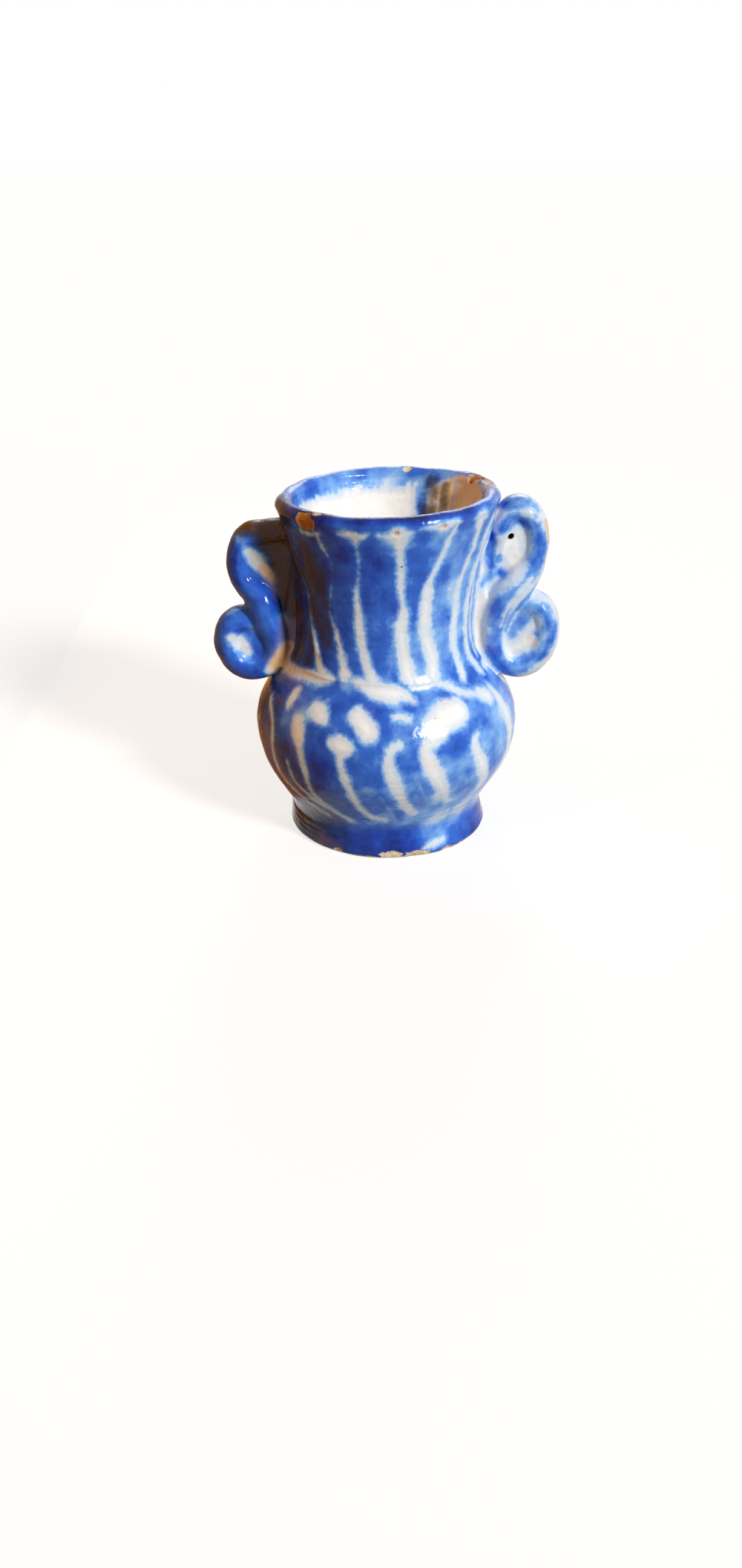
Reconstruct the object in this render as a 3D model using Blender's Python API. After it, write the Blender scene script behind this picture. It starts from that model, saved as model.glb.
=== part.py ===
"""Miniature two-handled amphora in tin-glazed earthenware, as the potter's separate pieces.

Units are metres, +Z is up, and the origin is the centre of the foot's standing face.
The two scroll handles lie along X, the left one towards -X.
"""

import math

import bmesh
import bpy
from mathutils import Matrix, Vector

MM = 0.001

# Overall height, from the standing face to the top of the lip
HEIGHT = 60.0 * MM

# Luting: every piece is bedded in slip, with a hairline on either side of it
SEAT_GAP = 0.3 * MM
SLIP_THICKNESS = 0.4 * MM
BED = SEAT_GAP + SLIP_THICKNESS + SEAT_GAP

# Foot ring, thrown as a collar and luted under the rounded belly
FOOT_RADIUS = 17.4 * MM
FOOT_FLARE = 0.6 * MM  # how far the standing edge stands out past the crease at the belly
FOOT_EDGE_ROUND = 0.9 * MM
FOOT_RING_WIDTH = 3.4 * MM

# Belly, a squat bowl: two half ellipses that meet at the widest circle
BELLY_RADIUS = 22.7 * MM
BELLY_EQUATOR = 20.0 * MM
BELLY_UNDER_RISE = 21.0 * MM
BELLY_SHOULDER_RISE = 15.9 * MM
BELLY_WALL = 3.0 * MM
FLOOR_UNDERSIDE = 2.0 * MM
FLOOR_THICKNESS = 3.2 * MM

# Neck, a waisted tube that flares to a rounded lip
NECK_BASE_RADIUS = 16.7 * MM
NECK_WAIST_RADIUS = 15.4 * MM
NECK_WAIST_RISE = 7.8 * MM  # waist above the neck's lower edge
RIM_RADIUS = 18.65 * MM
NECK_WALL = 2.8 * MM
LIP_THICKNESS = 3.0 * MM

# Handles, each one coil of clay curled into an S: an upper eye, a diagonal and a lower eye
LEFT_HANDLE_DROP = 5.0 * MM  # top of the scroll below the top of the lip
RIGHT_HANDLE_DROP = 1.1 * MM
HANDLE_SEAT_RISE = 6.3 * MM  # underside of the scroll above the belly's widest circle
LEFT_LOWER_SHARE = 0.52  # part of the scroll's height that the lower eye takes
RIGHT_LOWER_SHARE = 0.535
UPPER_EYE_REACH = 3.4 * MM  # half the width of an eye, on the coil's centre line
LEFT_LOWER_REACH = 4.2 * MM
RIGHT_LOWER_REACH = 4.6 * MM
UPPER_COIL_THICKNESS = 3.8 * MM
DIAGONAL_THICKNESS = 5.2 * MM
LOWER_COIL_THICKNESS = 4.6 * MM
COIL_TIP_THICKNESS = 2.2 * MM
COIL_DEPTH_RATIO = 1.4  # depth across the handle, against the thickness seen from the front
NECK_PRESS = 0.6 * MM  # how far an eye is pressed flat on the slip of the neck
SHOULDER_PRESS = 2.2 * MM  # and the lower eye on that of the shoulder, at its deepest
LEFT_COIL_START = 95.0  # degrees round the upper eye, 90 at its top: a root on the neck
RIGHT_COIL_START = 235.0  # a free tip that curls in under the upper eye
UPPER_EYE_END = -35.0
LOWER_EYE_START = 150.0
LOWER_EYE_END = 550.0  # the coil turns right round the lower eye and into it
LOWER_EYE_WIND = 0.16  # size that the last half turn winds in to, as a part of the eye's

# Web of slip that closes the upper eye and the space between the scroll and the neck
WEB_LEAST = 0.5 * MM  # narrower than this, the gap between coil and neck holds no web
WEB_DEPTH = 2.6 * MM

# Facets: steps round the wheel, steps along the outlines, and stations along the coils
TURN_STEPS = 48
FOOT_STEPS = 4
BOWL_STEPS = 9
INNER_BOWL_STEPS = 6
SHOULDER_STEPS = 7
INNER_SHOULDER_STEPS = 5
NECK_STEPS = 12
LIP_STEPS = 7
WALL_CORE_STEPS = 30
SLIP_LAYER_STEPS = 14
COIL_SIDES = 12
STATIONS_PER_TURN = 28
LEAST_STATIONS = 4
DIAGONAL_STATIONS = 5
ROOT_STATIONS = 3
TIP_TAPER_STATIONS = 5  # over which a free tip grows to the coil's thickness
THICKEN_STATIONS = 3  # of the upper eye, over which the coil starts to thicken to the diagonal
THIN_STATIONS = 7  # of the lower eye, over which it thins again
TIP_ROUND = ((0.0, 1.0), (0.45, 0.82), (0.75, 0.45))  # (ahead, size) of the sections that round a tip

# Fired colours, linear RGB
COBALT_BLUE = (0.024, 0.075, 0.34)
BRUSHED_BLUE = (0.08, 0.17, 0.46)
SLIP_WHITE = (0.72, 0.64, 0.55)
GLAZE_ROUGHNESS = 0.14
SLIP_ROUGHNESS = 0.4


def fired_clay(name, colour, roughness):
    """A plain fired surface, which is not metallic."""
    material = bpy.data.materials.new(name)
    material.use_nodes = True
    shader = material.node_tree.nodes["Principled BSDF"]
    shader.inputs["Base Color"].default_value = (*colour, 1.0)
    shader.inputs["Roughness"].default_value = roughness
    shader.inputs["Metallic"].default_value = 0.0
    return material


def finished(name, shape, material, sharp_angle=50.0):
    """The named object for a bmesh, with its normals outwards and its curves shaded smooth."""
    bmesh.ops.recalc_face_normals(shape, faces=shape.faces)
    mesh = bpy.data.meshes.new(name)
    shape.to_mesh(mesh)
    shape.free()
    mesh.shade_smooth()
    mesh.set_sharp_from_angle(angle=math.radians(sharp_angle))
    mesh.materials.append(material)
    piece = bpy.data.objects.new(name, mesh)
    bpy.context.scene.collection.objects.link(piece)
    return piece


def cutter(piece):
    """Marks a piece as a shape that only cuts others."""
    piece.hide_render = True
    piece.display_type = "WIRE"
    return piece


def cut(piece, tool, operation="DIFFERENCE"):
    """Cuts a piece with another, or keeps what the two share."""
    step = piece.modifiers.new(tool.name, "BOOLEAN")
    step.operation = operation
    step.solver = "EXACT"
    step.use_self = True
    step.object = tool


def turned(name, outline, material, closed=True):
    """A piece turned on the wheel from (radius, height) points. An open outline ends on the axis."""
    shape = bmesh.new()
    corners = [shape.verts.new((radius, 0.0, height)) for radius, height in outline]
    pairs = list(zip(corners, corners[1:]))
    if closed:
        pairs.append((corners[-1], corners[0]))
    edges = [shape.edges.new(pair) for pair in pairs]
    bmesh.ops.spin(
        shape, geom=corners + edges, cent=(0, 0, 0), axis=(0, 0, 1),
        angle=2 * math.pi, steps=TURN_STEPS, use_merge=True,
    )
    bmesh.ops.remove_doubles(shape, verts=shape.verts, dist=0.001 * MM)
    return finished(name, shape, material)


def evenly(start, end, steps):
    """steps + 1 numbers from start to end."""
    return [start + (end - start) * step / steps for step in range(steps + 1)]


def arc(centre, radius, start, end, steps):
    """Points round a centre, with angles in degrees from the outward direction."""
    angles = [math.radians(angle) for angle in evenly(start, end, steps)]
    return [(centre[0] + radius * math.cos(a), centre[1] + radius * math.sin(a)) for a in angles]


def eased(share):
    """A share from 0 to 1, with a soft start and a soft end."""
    share = max(0.0, min(1.0, share))
    return share * share * (3 - 2 * share)


# The vessel


def belly_rise(radius, rise, grow=0.0):
    """How far from its widest circle the belly's ellipse lies at a radius, when grown all round."""
    across = min(1.0, radius / (BELLY_RADIUS + grow))
    return (rise + grow) * math.sqrt(1.0 - across**2)


def under_height(radius, grow=0.0):
    """Height of the bowl's underside at a radius, or of a surface that far below it."""
    return BELLY_EQUATOR - belly_rise(radius, BELLY_UNDER_RISE, grow)


def belly_arc(start, end, rise, steps, grow=0.0):
    """Points (radius, rise) on one half of the belly, evenly spaced round the ellipse."""
    wide, tall = BELLY_RADIUS + grow, rise + grow
    angles = evenly(math.acos(min(1.0, start / wide)), math.acos(min(1.0, end / wide)), steps)
    return [(wide * math.cos(a), tall * math.sin(a)) for a in angles]


CREASE_RADIUS = FOOT_RADIUS - FOOT_FLARE
FOOT_BORE = FOOT_RADIUS - FOOT_EDGE_ROUND - FOOT_RING_WIDTH
SEAM_HEIGHT = BELLY_EQUATOR + belly_rise(NECK_BASE_RADIUS, BELLY_SHOULDER_RISE)
NECK_FOOT = SEAM_HEIGHT + BED
NECK_WAIST_HEIGHT = NECK_FOOT + NECK_WAIST_RISE
LIP_ROUND = LIP_THICKNESS / 2
LIP_HEIGHT = HEIGHT - LIP_ROUND


def neck_radius(height):
    """Outer radius of the neck: a short flare below the waist, and a long one above it."""
    if height < NECK_WAIST_HEIGHT:
        share = min(1.0, (NECK_WAIST_HEIGHT - height) / NECK_WAIST_RISE)
        return NECK_WAIST_RADIUS + (NECK_BASE_RADIUS - NECK_WAIST_RADIUS) * share**3
    share = min(1.0, (height - NECK_WAIST_HEIGHT) / (LIP_HEIGHT - NECK_WAIST_HEIGHT))
    return NECK_WAIST_RADIUS + (RIM_RADIUS - NECK_WAIST_RADIUS) * share**2


def neck_bore(height):
    """Inner radius of the neck, whose wall thickens towards the lip."""
    share = (height - NECK_FOOT) / (LIP_HEIGHT - NECK_FOOT)
    return neck_radius(height) - NECK_WALL - (LIP_THICKNESS - NECK_WALL) * share**2


def wall_radius(height, grow):
    """Radius of the shoulder and neck, when grown all round."""
    above = (height - BELLY_EQUATOR) / (BELLY_SHOULDER_RISE + grow)
    shoulder = (BELLY_RADIUS + grow) * math.sqrt(max(0.0, 1 - above**2))
    return max(shoulder, neck_radius(height) + grow)


def foot_outline():
    """A wedge: a flat standing face, a flared side, and a top that follows the bowl above it."""
    edge = arc((FOOT_RADIUS - FOOT_EDGE_ROUND, FOOT_EDGE_ROUND), FOOT_EDGE_ROUND, -90, 0, FOOT_STEPS)
    top = [(radius, under_height(radius, BED)) for radius in evenly(CREASE_RADIUS, FOOT_BORE, FOOT_STEPS)]
    side_top = top[0][1]
    side = [
        (CREASE_RADIUS + FOOT_FLARE * (1 - share) ** 2, FOOT_EDGE_ROUND + (side_top - FOOT_EDGE_ROUND) * share)
        for share in evenly(0, 1, FOOT_STEPS)
    ]
    return [(FOOT_BORE, 0.0)] + edge + side[1:-1] + top


def foot_slip_outline():
    """Slip between the foot ring and the bowl, as wide as the ring's top."""
    radii = evenly(FOOT_BORE, CREASE_RADIUS, FOOT_STEPS)
    lower = [(radius, under_height(radius, SEAT_GAP + SLIP_THICKNESS)) for radius in radii]
    upper = [(radius, under_height(radius, SEAT_GAP)) for radius in reversed(radii)]
    return lower + upper


def belly_outline():
    """From the turned flat underneath, round the outside to the seam, and inside to the floor."""
    drop = (BELLY_EQUATOR - FLOOR_UNDERSIDE) / BELLY_UNDER_RISE
    flat_radius = BELLY_RADIUS * math.sqrt(1 - drop**2)
    bowl = belly_arc(flat_radius, BELLY_RADIUS, BELLY_UNDER_RISE, BOWL_STEPS)
    shoulder = belly_arc(BELLY_RADIUS, NECK_BASE_RADIUS, BELLY_SHOULDER_RISE, SHOULDER_STEPS)
    mouth = NECK_BASE_RADIUS - NECK_WALL
    inner_radius = BELLY_RADIUS - BELLY_WALL
    inner_shoulder = belly_arc(mouth, inner_radius, BELLY_SHOULDER_RISE, INNER_SHOULDER_STEPS, -BELLY_WALL)
    floor_height = FLOOR_UNDERSIDE + FLOOR_THICKNESS
    floor_drop = (BELLY_EQUATOR - floor_height) / (BELLY_UNDER_RISE - BELLY_WALL)
    floor_radius = inner_radius * math.sqrt(1 - floor_drop**2)
    inner_bowl = belly_arc(inner_radius, floor_radius, BELLY_UNDER_RISE, INNER_BOWL_STEPS, -BELLY_WALL)
    outside = [(r, BELLY_EQUATOR - h) for r, h in bowl] + [(r, BELLY_EQUATOR + h) for r, h in shoulder[1:]]
    inside = [(r, BELLY_EQUATOR + h) for r, h in inner_shoulder]
    inside += [(r, BELLY_EQUATOR - h) for r, h in inner_bowl[1:]]
    return [(0.0, FLOOR_UNDERSIDE)] + outside + [(mouth, SEAM_HEIGHT)] + inside + [(0.0, floor_height)]


def neck_slip_outline():
    """Slip between the shoulder and the neck, as wide as the neck's wall."""
    bottom, top = SEAM_HEIGHT + SEAT_GAP, SEAM_HEIGHT + SEAT_GAP + SLIP_THICKNESS
    inner = NECK_BASE_RADIUS - NECK_WALL
    return [(inner, bottom), (NECK_BASE_RADIUS, bottom), (NECK_BASE_RADIUS, top), (inner, top)]


def neck_outline():
    """Up the outside, over the rounded lip, and down the bore."""
    heights = evenly(NECK_FOOT, LIP_HEIGHT, NECK_STEPS)
    outside = [(neck_radius(height), height) for height in heights]
    lip = arc((RIM_RADIUS - LIP_ROUND, LIP_HEIGHT), LIP_ROUND, 0, 180, LIP_STEPS)
    bore = [(neck_bore(height), height) for height in reversed(heights)]
    return outside + lip[1:-1] + bore


def wall_core_outline(grow):
    """All of the shoulder and neck, grown all round, as one solid plug."""
    heights = evenly(BELLY_EQUATOR, HEIGHT + grow, WALL_CORE_STEPS)
    side = [(wall_radius(height, grow), height) for height in heights]
    return [(0.0, heights[0])] + side + [(0.0, heights[-1])]


def slip_layer_outline(bottom, top):
    """The layer of slip over the wall, between two heights."""
    heights = evenly(bottom, top, SLIP_LAYER_STEPS)
    inner = [(wall_radius(height, SEAT_GAP), height) for height in heights]
    outer = [(wall_radius(height, SEAT_GAP + SLIP_THICKNESS), height) for height in reversed(heights)]
    return inner + outer


# The scroll handles


def round_eye(centre, reach, rise, start, end, wind=1.0):
    """Points round an eye in (outward, up). The last half turn winds in to a part of its size."""
    steps = max(LEAST_STATIONS, round(abs(end - start) / 360 * STATIONS_PER_TURN))
    points = []
    for angle in evenly(start, end, steps):
        size = 1 + (wind - 1) * eased(1 - (end - angle) / 180) if wind < 1 else 1.0
        turn = math.radians(angle)
        points.append(centre + Vector((reach * math.cos(turn), rise * math.sin(turn))) * size)
    return points


def neck_seat(height, reach, half):
    """How far out an eye's centre sits when its coil is pressed on the neck."""
    return neck_radius(height) + BED - NECK_PRESS + half + reach


def shoulder_move(curl, half):
    """How far a curl moves out (or in, if less than 0) to be pressed on the shoulder as deep as it should be."""
    skin = [Vector(spot) for point in curl for spot in arc(point, half, 0, 360, COIL_SIDES)]
    return max(wall_radius(spot.y, BED) - spot.x for spot in skin) - SHOULDER_PRESS


def diagonal(before, start, end, after):
    """Points between the two eyes, on a curve that leaves and meets them without a kink."""
    pull = (end - start).length / 3
    leave = start + (start - before).normalized() * pull
    meet = end + (end - after).normalized() * pull
    points = []
    for t in evenly(0, 1, DIAGONAL_STATIONS + 1)[1:-1]:
        near, far = 1 - t, t
        points.append(start * near**3 + leave * 3 * near**2 * far + meet * 3 * near * far**2 + end * far**3)
    return points


class Scroll:
    """The centre line and the thickness of one S-shaped handle, in (outward, up)."""

    def __init__(self, side, drop, coil_start, rooted, lower_share, lower_reach):
        self.side = side
        upper_half, lower_half = UPPER_COIL_THICKNESS / 2, LOWER_COIL_THICKNESS / 2
        bottom, top = BELLY_EQUATOR + HANDLE_SEAT_RISE, HEIGHT - drop
        self.waist = bottom + lower_share * (top - bottom)
        lower_rise = (self.waist - bottom) / 2 - lower_half
        upper_low, upper_high = self.waist + upper_half, top - upper_half
        upper_rise = (upper_high - upper_low) / 2
        upper_height, lower_height = (upper_high + upper_low) / 2, (self.waist + bottom) / 2
        upper_eye = Vector((neck_seat(upper_height, UPPER_EYE_REACH, upper_half), upper_height))
        lower_eye = Vector((neck_seat(lower_height, lower_reach, lower_half), lower_height))
        upper = round_eye(upper_eye, UPPER_EYE_REACH, upper_rise, coil_start, UPPER_EYE_END)
        lower = round_eye(lower_eye, lower_reach, lower_rise, LOWER_EYE_START, LOWER_EYE_END, LOWER_EYE_WIND)
        lean = Vector((min(0.0, shoulder_move(lower, lower_half)), 0.0))
        lower = [point + lean for point in lower]
        middle = diagonal(upper[-2], upper[-1], lower[0], lower[1])
        if rooted:
            root = Vector((neck_bore(upper[0].y), upper[0].y))
            upper = [root.lerp(upper[0], share) for share in evenly(0, 1, ROOT_STATIONS)[:-1]] + upper
        else:
            upper = self.clear_of_diagonal(upper, middle)
        self.line = upper + middle + lower
        self.web_line = upper + self.clear_of_wall(middle)
        last = len(self.line) - 1
        lower_first = len(upper) + len(middle)
        outermost = max(range(lower_first, last), key=lambda at: self.line[at].x)
        self.thickness_marks = (
            (0, UPPER_COIL_THICKNESS if rooted else COIL_TIP_THICKNESS),
            (TIP_TAPER_STATIONS, UPPER_COIL_THICKNESS),
            (len(upper) - THICKEN_STATIONS, UPPER_COIL_THICKNESS),
            (len(upper) + len(middle) // 2, DIAGONAL_THICKNESS),
            (lower_first + THIN_STATIONS, LOWER_COIL_THICKNESS),
            (outermost, LOWER_COIL_THICKNESS),
            (last, COIL_TIP_THICKNESS),
        )

    @staticmethod
    def clear_of_diagonal(upper, middle):
        """The upper eye from the first place where its free tip leaves room for a web to the diagonal."""
        room = (COIL_TIP_THICKNESS + DIAGONAL_THICKNESS) / 2 + 2 * SEAT_GAP + WEB_LEAST
        clear = [min((point - other).length for other in middle) >= room for point in upper]
        return upper[clear.index(True):]

    @staticmethod
    def clear_of_wall(middle):
        """The part of the diagonal from its top that leaves room for a web between it and the wall."""
        reach = DIAGONAL_THICKNESS / 2 + SEAT_GAP + WEB_LEAST
        tight = [at for at, point in enumerate(middle) if point.x - reach < wall_radius(point.y, SEAT_GAP)]
        return middle[:tight[0]] if tight else middle

    def half_thickness(self, station):
        """Half the coil's thickness, eased between the marks along it."""
        for (start, first), (end, second) in zip(self.thickness_marks, self.thickness_marks[1:]):
            if station <= end:
                return (first + (second - first) * eased((station - start) / (end - start))) / 2


def coil_ring(shape, centre, along, half, side):
    """One cross-section of a coil, square to its line."""
    across = Vector((along.y, -along.x)) * half
    placed = Matrix((
        (side * across.x, 0.0, side * along.x, side * centre.x),
        (0.0, half * COIL_DEPTH_RATIO, 0.0, 0.0),
        (across.y, 0.0, along.y, centre.y),
        (0.0, 0.0, 0.0, 1.0),
    ))
    made = bmesh.ops.create_circle(shape, segments=COIL_SIDES, radius=1.0, matrix=placed)
    return list({edge for corner in made["verts"] for edge in corner.link_edges})


def coil(name, scroll, material, grow=0.0):
    """The rolled coil, lofted through its cross-sections, with rounded tips."""
    shape = bmesh.new()
    line, last = scroll.line, len(scroll.line) - 1
    rings = []
    for station, centre in enumerate(line):
        along = (line[min(last, station + 1)] - line[max(0, station - 1)]).normalized()
        half = scroll.half_thickness(station) + grow
        sections = TIP_ROUND[:1]
        if station == 0:
            sections = [(-ahead, size) for ahead, size in reversed(TIP_ROUND)]
        if station == last:
            sections = TIP_ROUND
        for ahead, size in sections:
            rings.append(coil_ring(shape, centre + along * half * ahead, along, half * size, scroll.side))
    for first, second in zip(rings, rings[1:]):
        bmesh.ops.bridge_loops(shape, edges=first + second)
    bmesh.ops.holes_fill(shape, edges=shape.edges, sides=COIL_SIDES)
    return finished(name, shape, material)


def web(name, scroll, material):
    """A plate that fills the scroll's line down to the lower eye, and reaches into the neck.

    Under a free tip its upper edge falls at 45 degrees to the neck.
    """
    line = scroll.web_line
    edge = line[0].y - max(0.0, line[0].x - neck_radius(line[0].y))
    inside = [Vector((neck_bore(height), height)) for height in (line[-1].y, edge)]
    shape = bmesh.new()
    corners = [shape.verts.new((scroll.side * p.x, -WEB_DEPTH / 2, p.y)) for p in line + inside]
    front = shape.faces.new(corners)
    grown = bmesh.ops.extrude_face_region(shape, geom=[front])["geom"]
    back = [part for part in grown if isinstance(part, bmesh.types.BMVert)]
    bmesh.ops.translate(shape, verts=back, vec=(0, WEB_DEPTH, 0))
    return finished(name, shape, material)


def build():
    """Clears the scene and makes every piece."""
    for old in list(bpy.data.objects):
        bpy.data.objects.remove(old)
    foot_glaze = fired_clay("foot_glaze", COBALT_BLUE, GLAZE_ROUGHNESS)
    body_glaze = fired_clay("body_glaze", BRUSHED_BLUE, GLAZE_ROUGHNESS)
    handle_glaze = fired_clay("handle_glaze", BRUSHED_BLUE, GLAZE_ROUGHNESS)
    slip = fired_clay("luting_slip", SLIP_WHITE, SLIP_ROUGHNESS)
    turned("foot_ring", foot_outline(), foot_glaze)
    turned("foot_slip", foot_slip_outline(), slip)
    turned("belly", belly_outline(), body_glaze, closed=False)
    turned("neck_slip", neck_slip_outline(), slip)
    turned("neck", neck_outline(), body_glaze)
    bedded_wall = cutter(turned("bedded_wall", wall_core_outline(BED), slip, closed=False))
    near_wall = cutter(turned("near_wall", wall_core_outline(SEAT_GAP), slip, closed=False))
    left = Scroll(-1, LEFT_HANDLE_DROP, LEFT_COIL_START, True, LEFT_LOWER_SHARE, LEFT_LOWER_REACH)
    right = Scroll(1, RIGHT_HANDLE_DROP, RIGHT_COIL_START, False, RIGHT_LOWER_SHARE, RIGHT_LOWER_REACH)
    for word, scroll in (("left", left), ("right", right)):
        cut(coil(f"{word}_handle", scroll, handle_glaze), bedded_wall)
        plate = web(f"{word}_web", scroll, slip)
        cut(plate, cutter(coil(f"{word}_coil_room", scroll, slip, SEAT_GAP)))
        cut(plate, near_wall)
        layers = (("lower", BELLY_EQUATOR, scroll.waist), ("upper", scroll.waist, HEIGHT))
        for level, bottom, top in layers:
            layer = cutter(turned(f"{word}_{level}_layer", slip_layer_outline(bottom, top), slip))
            cut(coil(f"{word}_{level}_slip", scroll, slip), layer, "INTERSECT")


build()
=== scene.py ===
"""Looks of a miniature amphora, tin-glazed and brushed with cobalt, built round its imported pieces."""

import math
import random

import bmesh
import bpy
import numpy as np
from mathutils import Matrix, Vector, noise


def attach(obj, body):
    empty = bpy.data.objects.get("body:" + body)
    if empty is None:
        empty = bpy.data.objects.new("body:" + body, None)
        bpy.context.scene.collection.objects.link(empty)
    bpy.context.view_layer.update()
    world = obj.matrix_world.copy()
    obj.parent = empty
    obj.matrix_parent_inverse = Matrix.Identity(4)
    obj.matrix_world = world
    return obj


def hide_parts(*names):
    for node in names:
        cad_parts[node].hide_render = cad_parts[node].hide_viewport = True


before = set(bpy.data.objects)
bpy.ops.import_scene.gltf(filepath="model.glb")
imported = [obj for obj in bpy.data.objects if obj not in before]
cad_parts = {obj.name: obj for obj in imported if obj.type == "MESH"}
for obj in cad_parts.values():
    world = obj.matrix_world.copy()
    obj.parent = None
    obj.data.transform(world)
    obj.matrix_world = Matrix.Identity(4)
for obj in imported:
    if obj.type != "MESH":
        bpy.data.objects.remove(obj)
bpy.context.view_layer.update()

# Foot ring: a collar of buff earthenware thrown on the wheel, luted under the bowl and flooded with
# cobalt. It was wiped bare where it stands, and flakes of glaze have broken away along its edge.
MM = 0.001
FOOT_RADIUS = 17.4
FOOT_FLARE = 0.6
FOOT_EDGE_ROUND = 0.9
FOOT_BORE = 13.1
FOOT_TOP_RADIUS = 16.4
FOOT_LAP = 0.4  # how far the collar reaches up into the bowl
FOOT_TREAD = 1.6
CREASE_HEIGHT = 5.88
BELLY_RADIUS = 22.7
BELLY_EQUATOR = 20.0
BELLY_UNDER_RISE = 21.0
TURN_STEPS = 360
MERGE_WITHIN = 0.001
HARD_EDGE = 50
FAR = 99.0


def evenly(start, end, steps):
    """steps + 1 numbers from start to end."""
    return [float(number) for number in np.linspace(start, end, steps + 1)]


def arc(centre, radius, start, end, steps):
    """Points (radius, height) round a centre, with angles in degrees from the outward direction."""
    turns = [math.radians(angle) for angle in evenly(start, end, steps)]
    return [(centre[0] + radius * math.cos(turn), centre[1] + radius * math.sin(turn)) for turn in turns]


def under_height(radius):
    """Height of the bowl's underside at a radius."""
    return BELLY_EQUATOR - BELLY_UNDER_RISE * math.sqrt(1 - (radius / BELLY_RADIUS) ** 2)


def foot_side(height):
    """Radius of the collar's flared side."""
    share = (height - FOOT_EDGE_ROUND) / (CREASE_HEIGHT - FOOT_EDGE_ROUND)
    return FOOT_RADIUS - FOOT_FLARE + FOOT_FLARE * (1 - share) ** 2


def thrown(name, outline, closed=True):
    """A mesh turned from (radius, height) points in mm. An open outline starts and ends on the axis."""
    shape = bmesh.new()
    corners = [shape.verts.new((radius * MM, 0.0, height * MM)) for radius, height in outline]
    pairs = list(zip(corners, corners[1:]))
    if closed:
        pairs.append((corners[-1], corners[0]))
    for pair in pairs:
        shape.edges.new(pair)
    wheel = bpy.data.objects.new(name, finished_mesh(name, shape))
    bpy.context.scene.collection.objects.link(wheel)
    turn = wheel.modifiers.new("turn", "SCREW")
    turn.steps = turn.render_steps = TURN_STEPS
    turn.use_merge_vertices = True
    turn.merge_threshold = MERGE_WITHIN * MM
    shape = bmesh.new()
    shape.from_mesh(applied(wheel))
    bmesh.ops.remove_doubles(shape, verts=shape.verts, dist=MERGE_WITHIN * MM)
    bmesh.ops.recalc_face_normals(shape, faces=shape.faces)
    return finished_mesh(name, shape)


def applied(rough):
    """The mesh of an object with its modifiers applied. The object goes."""
    mesh = bpy.data.meshes.new_from_object(rough.evaluated_get(bpy.context.evaluated_depsgraph_get()))
    bpy.data.objects.remove(rough)
    return mesh


def finished_mesh(name, shape):
    """The mesh of a bmesh, smooth but for its hard edges."""
    mesh = bpy.data.meshes.new(name)
    shape.to_mesh(mesh)
    shape.free()
    mesh.shade_smooth()
    mesh.set_sharp_from_angle(angle=math.radians(HARD_EDGE))
    return mesh


def spots_of(mesh):
    """Where a mesh's vertices lie, in mm."""
    flat = np.empty(len(mesh.vertices) * 3)
    mesh.vertices.foreach_get("co", flat)
    return flat.reshape(-1, 3) / MM


def put_spots(mesh, spots):
    """Moves a mesh's vertices to places in mm."""
    mesh.vertices.foreach_set("co", (spots * MM).ravel())
    mesh.update()


def normals_of(mesh):
    """The outward direction at each vertex."""
    flat = np.empty(len(mesh.vertices) * 3, dtype=np.float32)
    mesh.vertex_normals.foreach_get("vector", flat)
    return flat.reshape(-1, 3).astype(float)


def mark(mesh, name, values):
    """Keeps a number, or a direction, for each vertex under a name that the glaze reads."""
    if values.ndim == 1:
        mesh.attributes.new(name, "FLOAT", "POINT").data.foreach_set("value", values.astype(np.float32))
    else:
        mesh.attributes.new(name, "FLOAT_VECTOR", "POINT").data.foreach_set(
            "vector", values.astype(np.float32).ravel()
        )


def grain(spots, size):
    """Smooth noise from -1 to 1 with lumps of about that size."""
    return np.array([noise.noise(Vector(spot)) for spot in spots / size])


def eased(share):
    """A share from 0 to 1, with a soft start and a soft end."""
    share = np.clip(share, 0.0, 1.0)
    return share * share * (3 - 2 * share)


def angle_of(spots):
    """Degrees round the pot, 0 at the front and growing to the right."""
    return np.degrees(np.arctan2(spots[:, 0], -spots[:, 1]))


def turn_between(angles, angle):
    """Degrees from one angle to others, the short way round."""
    return (angles - angle + 180) % 360 - 180


def on_wall(spots):
    """Places on the wall, as strokes, washes and chips take them: degrees round, mm up and the radius."""
    return angle_of(spots), spots[:, 2], np.hypot(spots[:, 0], spots[:, 1])


RIM_SHIFT = 0.45
RIM_LEAN = 0.034  # rise of the rim for each mm to the right
FOOT_SHIFT = 0.6
BELLY_SHIFT = 0.3
UNDER_PINCH = 0.5
PINCH_HEIGHT = 10
PINCH_REACH = 3.5
NECK_SOFT_FROM = 38
NECK_SOFT_REACH = 20
FOOT_SOFT_REACH = 7
BELLY_SOFT_FROM = 9
BELLY_SOFT_REACH = 8
NECK_STIFF_REACH = 10
RIM_DROP = 0.15
RIM_WAVE = 0.22
RIM_WAVE_FROM = 52
RIM_WAVE_REACH = 7
LIP_NOISE_AT = 40.0  # far from the noise of the other lumps
WALL_LUMPS = ((0.16, 8.0), (0.05, 2.6))  # (rise, size)
RING_RISE = 0.045
RING_SIZE = 0.7
RING_STRETCH = (0.05, 0.05, 1.0)  # draws the lumps out into rings
# Dents and bulges of the rim: (degrees, spread in degrees, mm out)
RIM_LOBES = ((-135, 38, -0.3), (122, 16, 0.35), (155, 20, -0.35), (-60, 25, 0.2))


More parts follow.
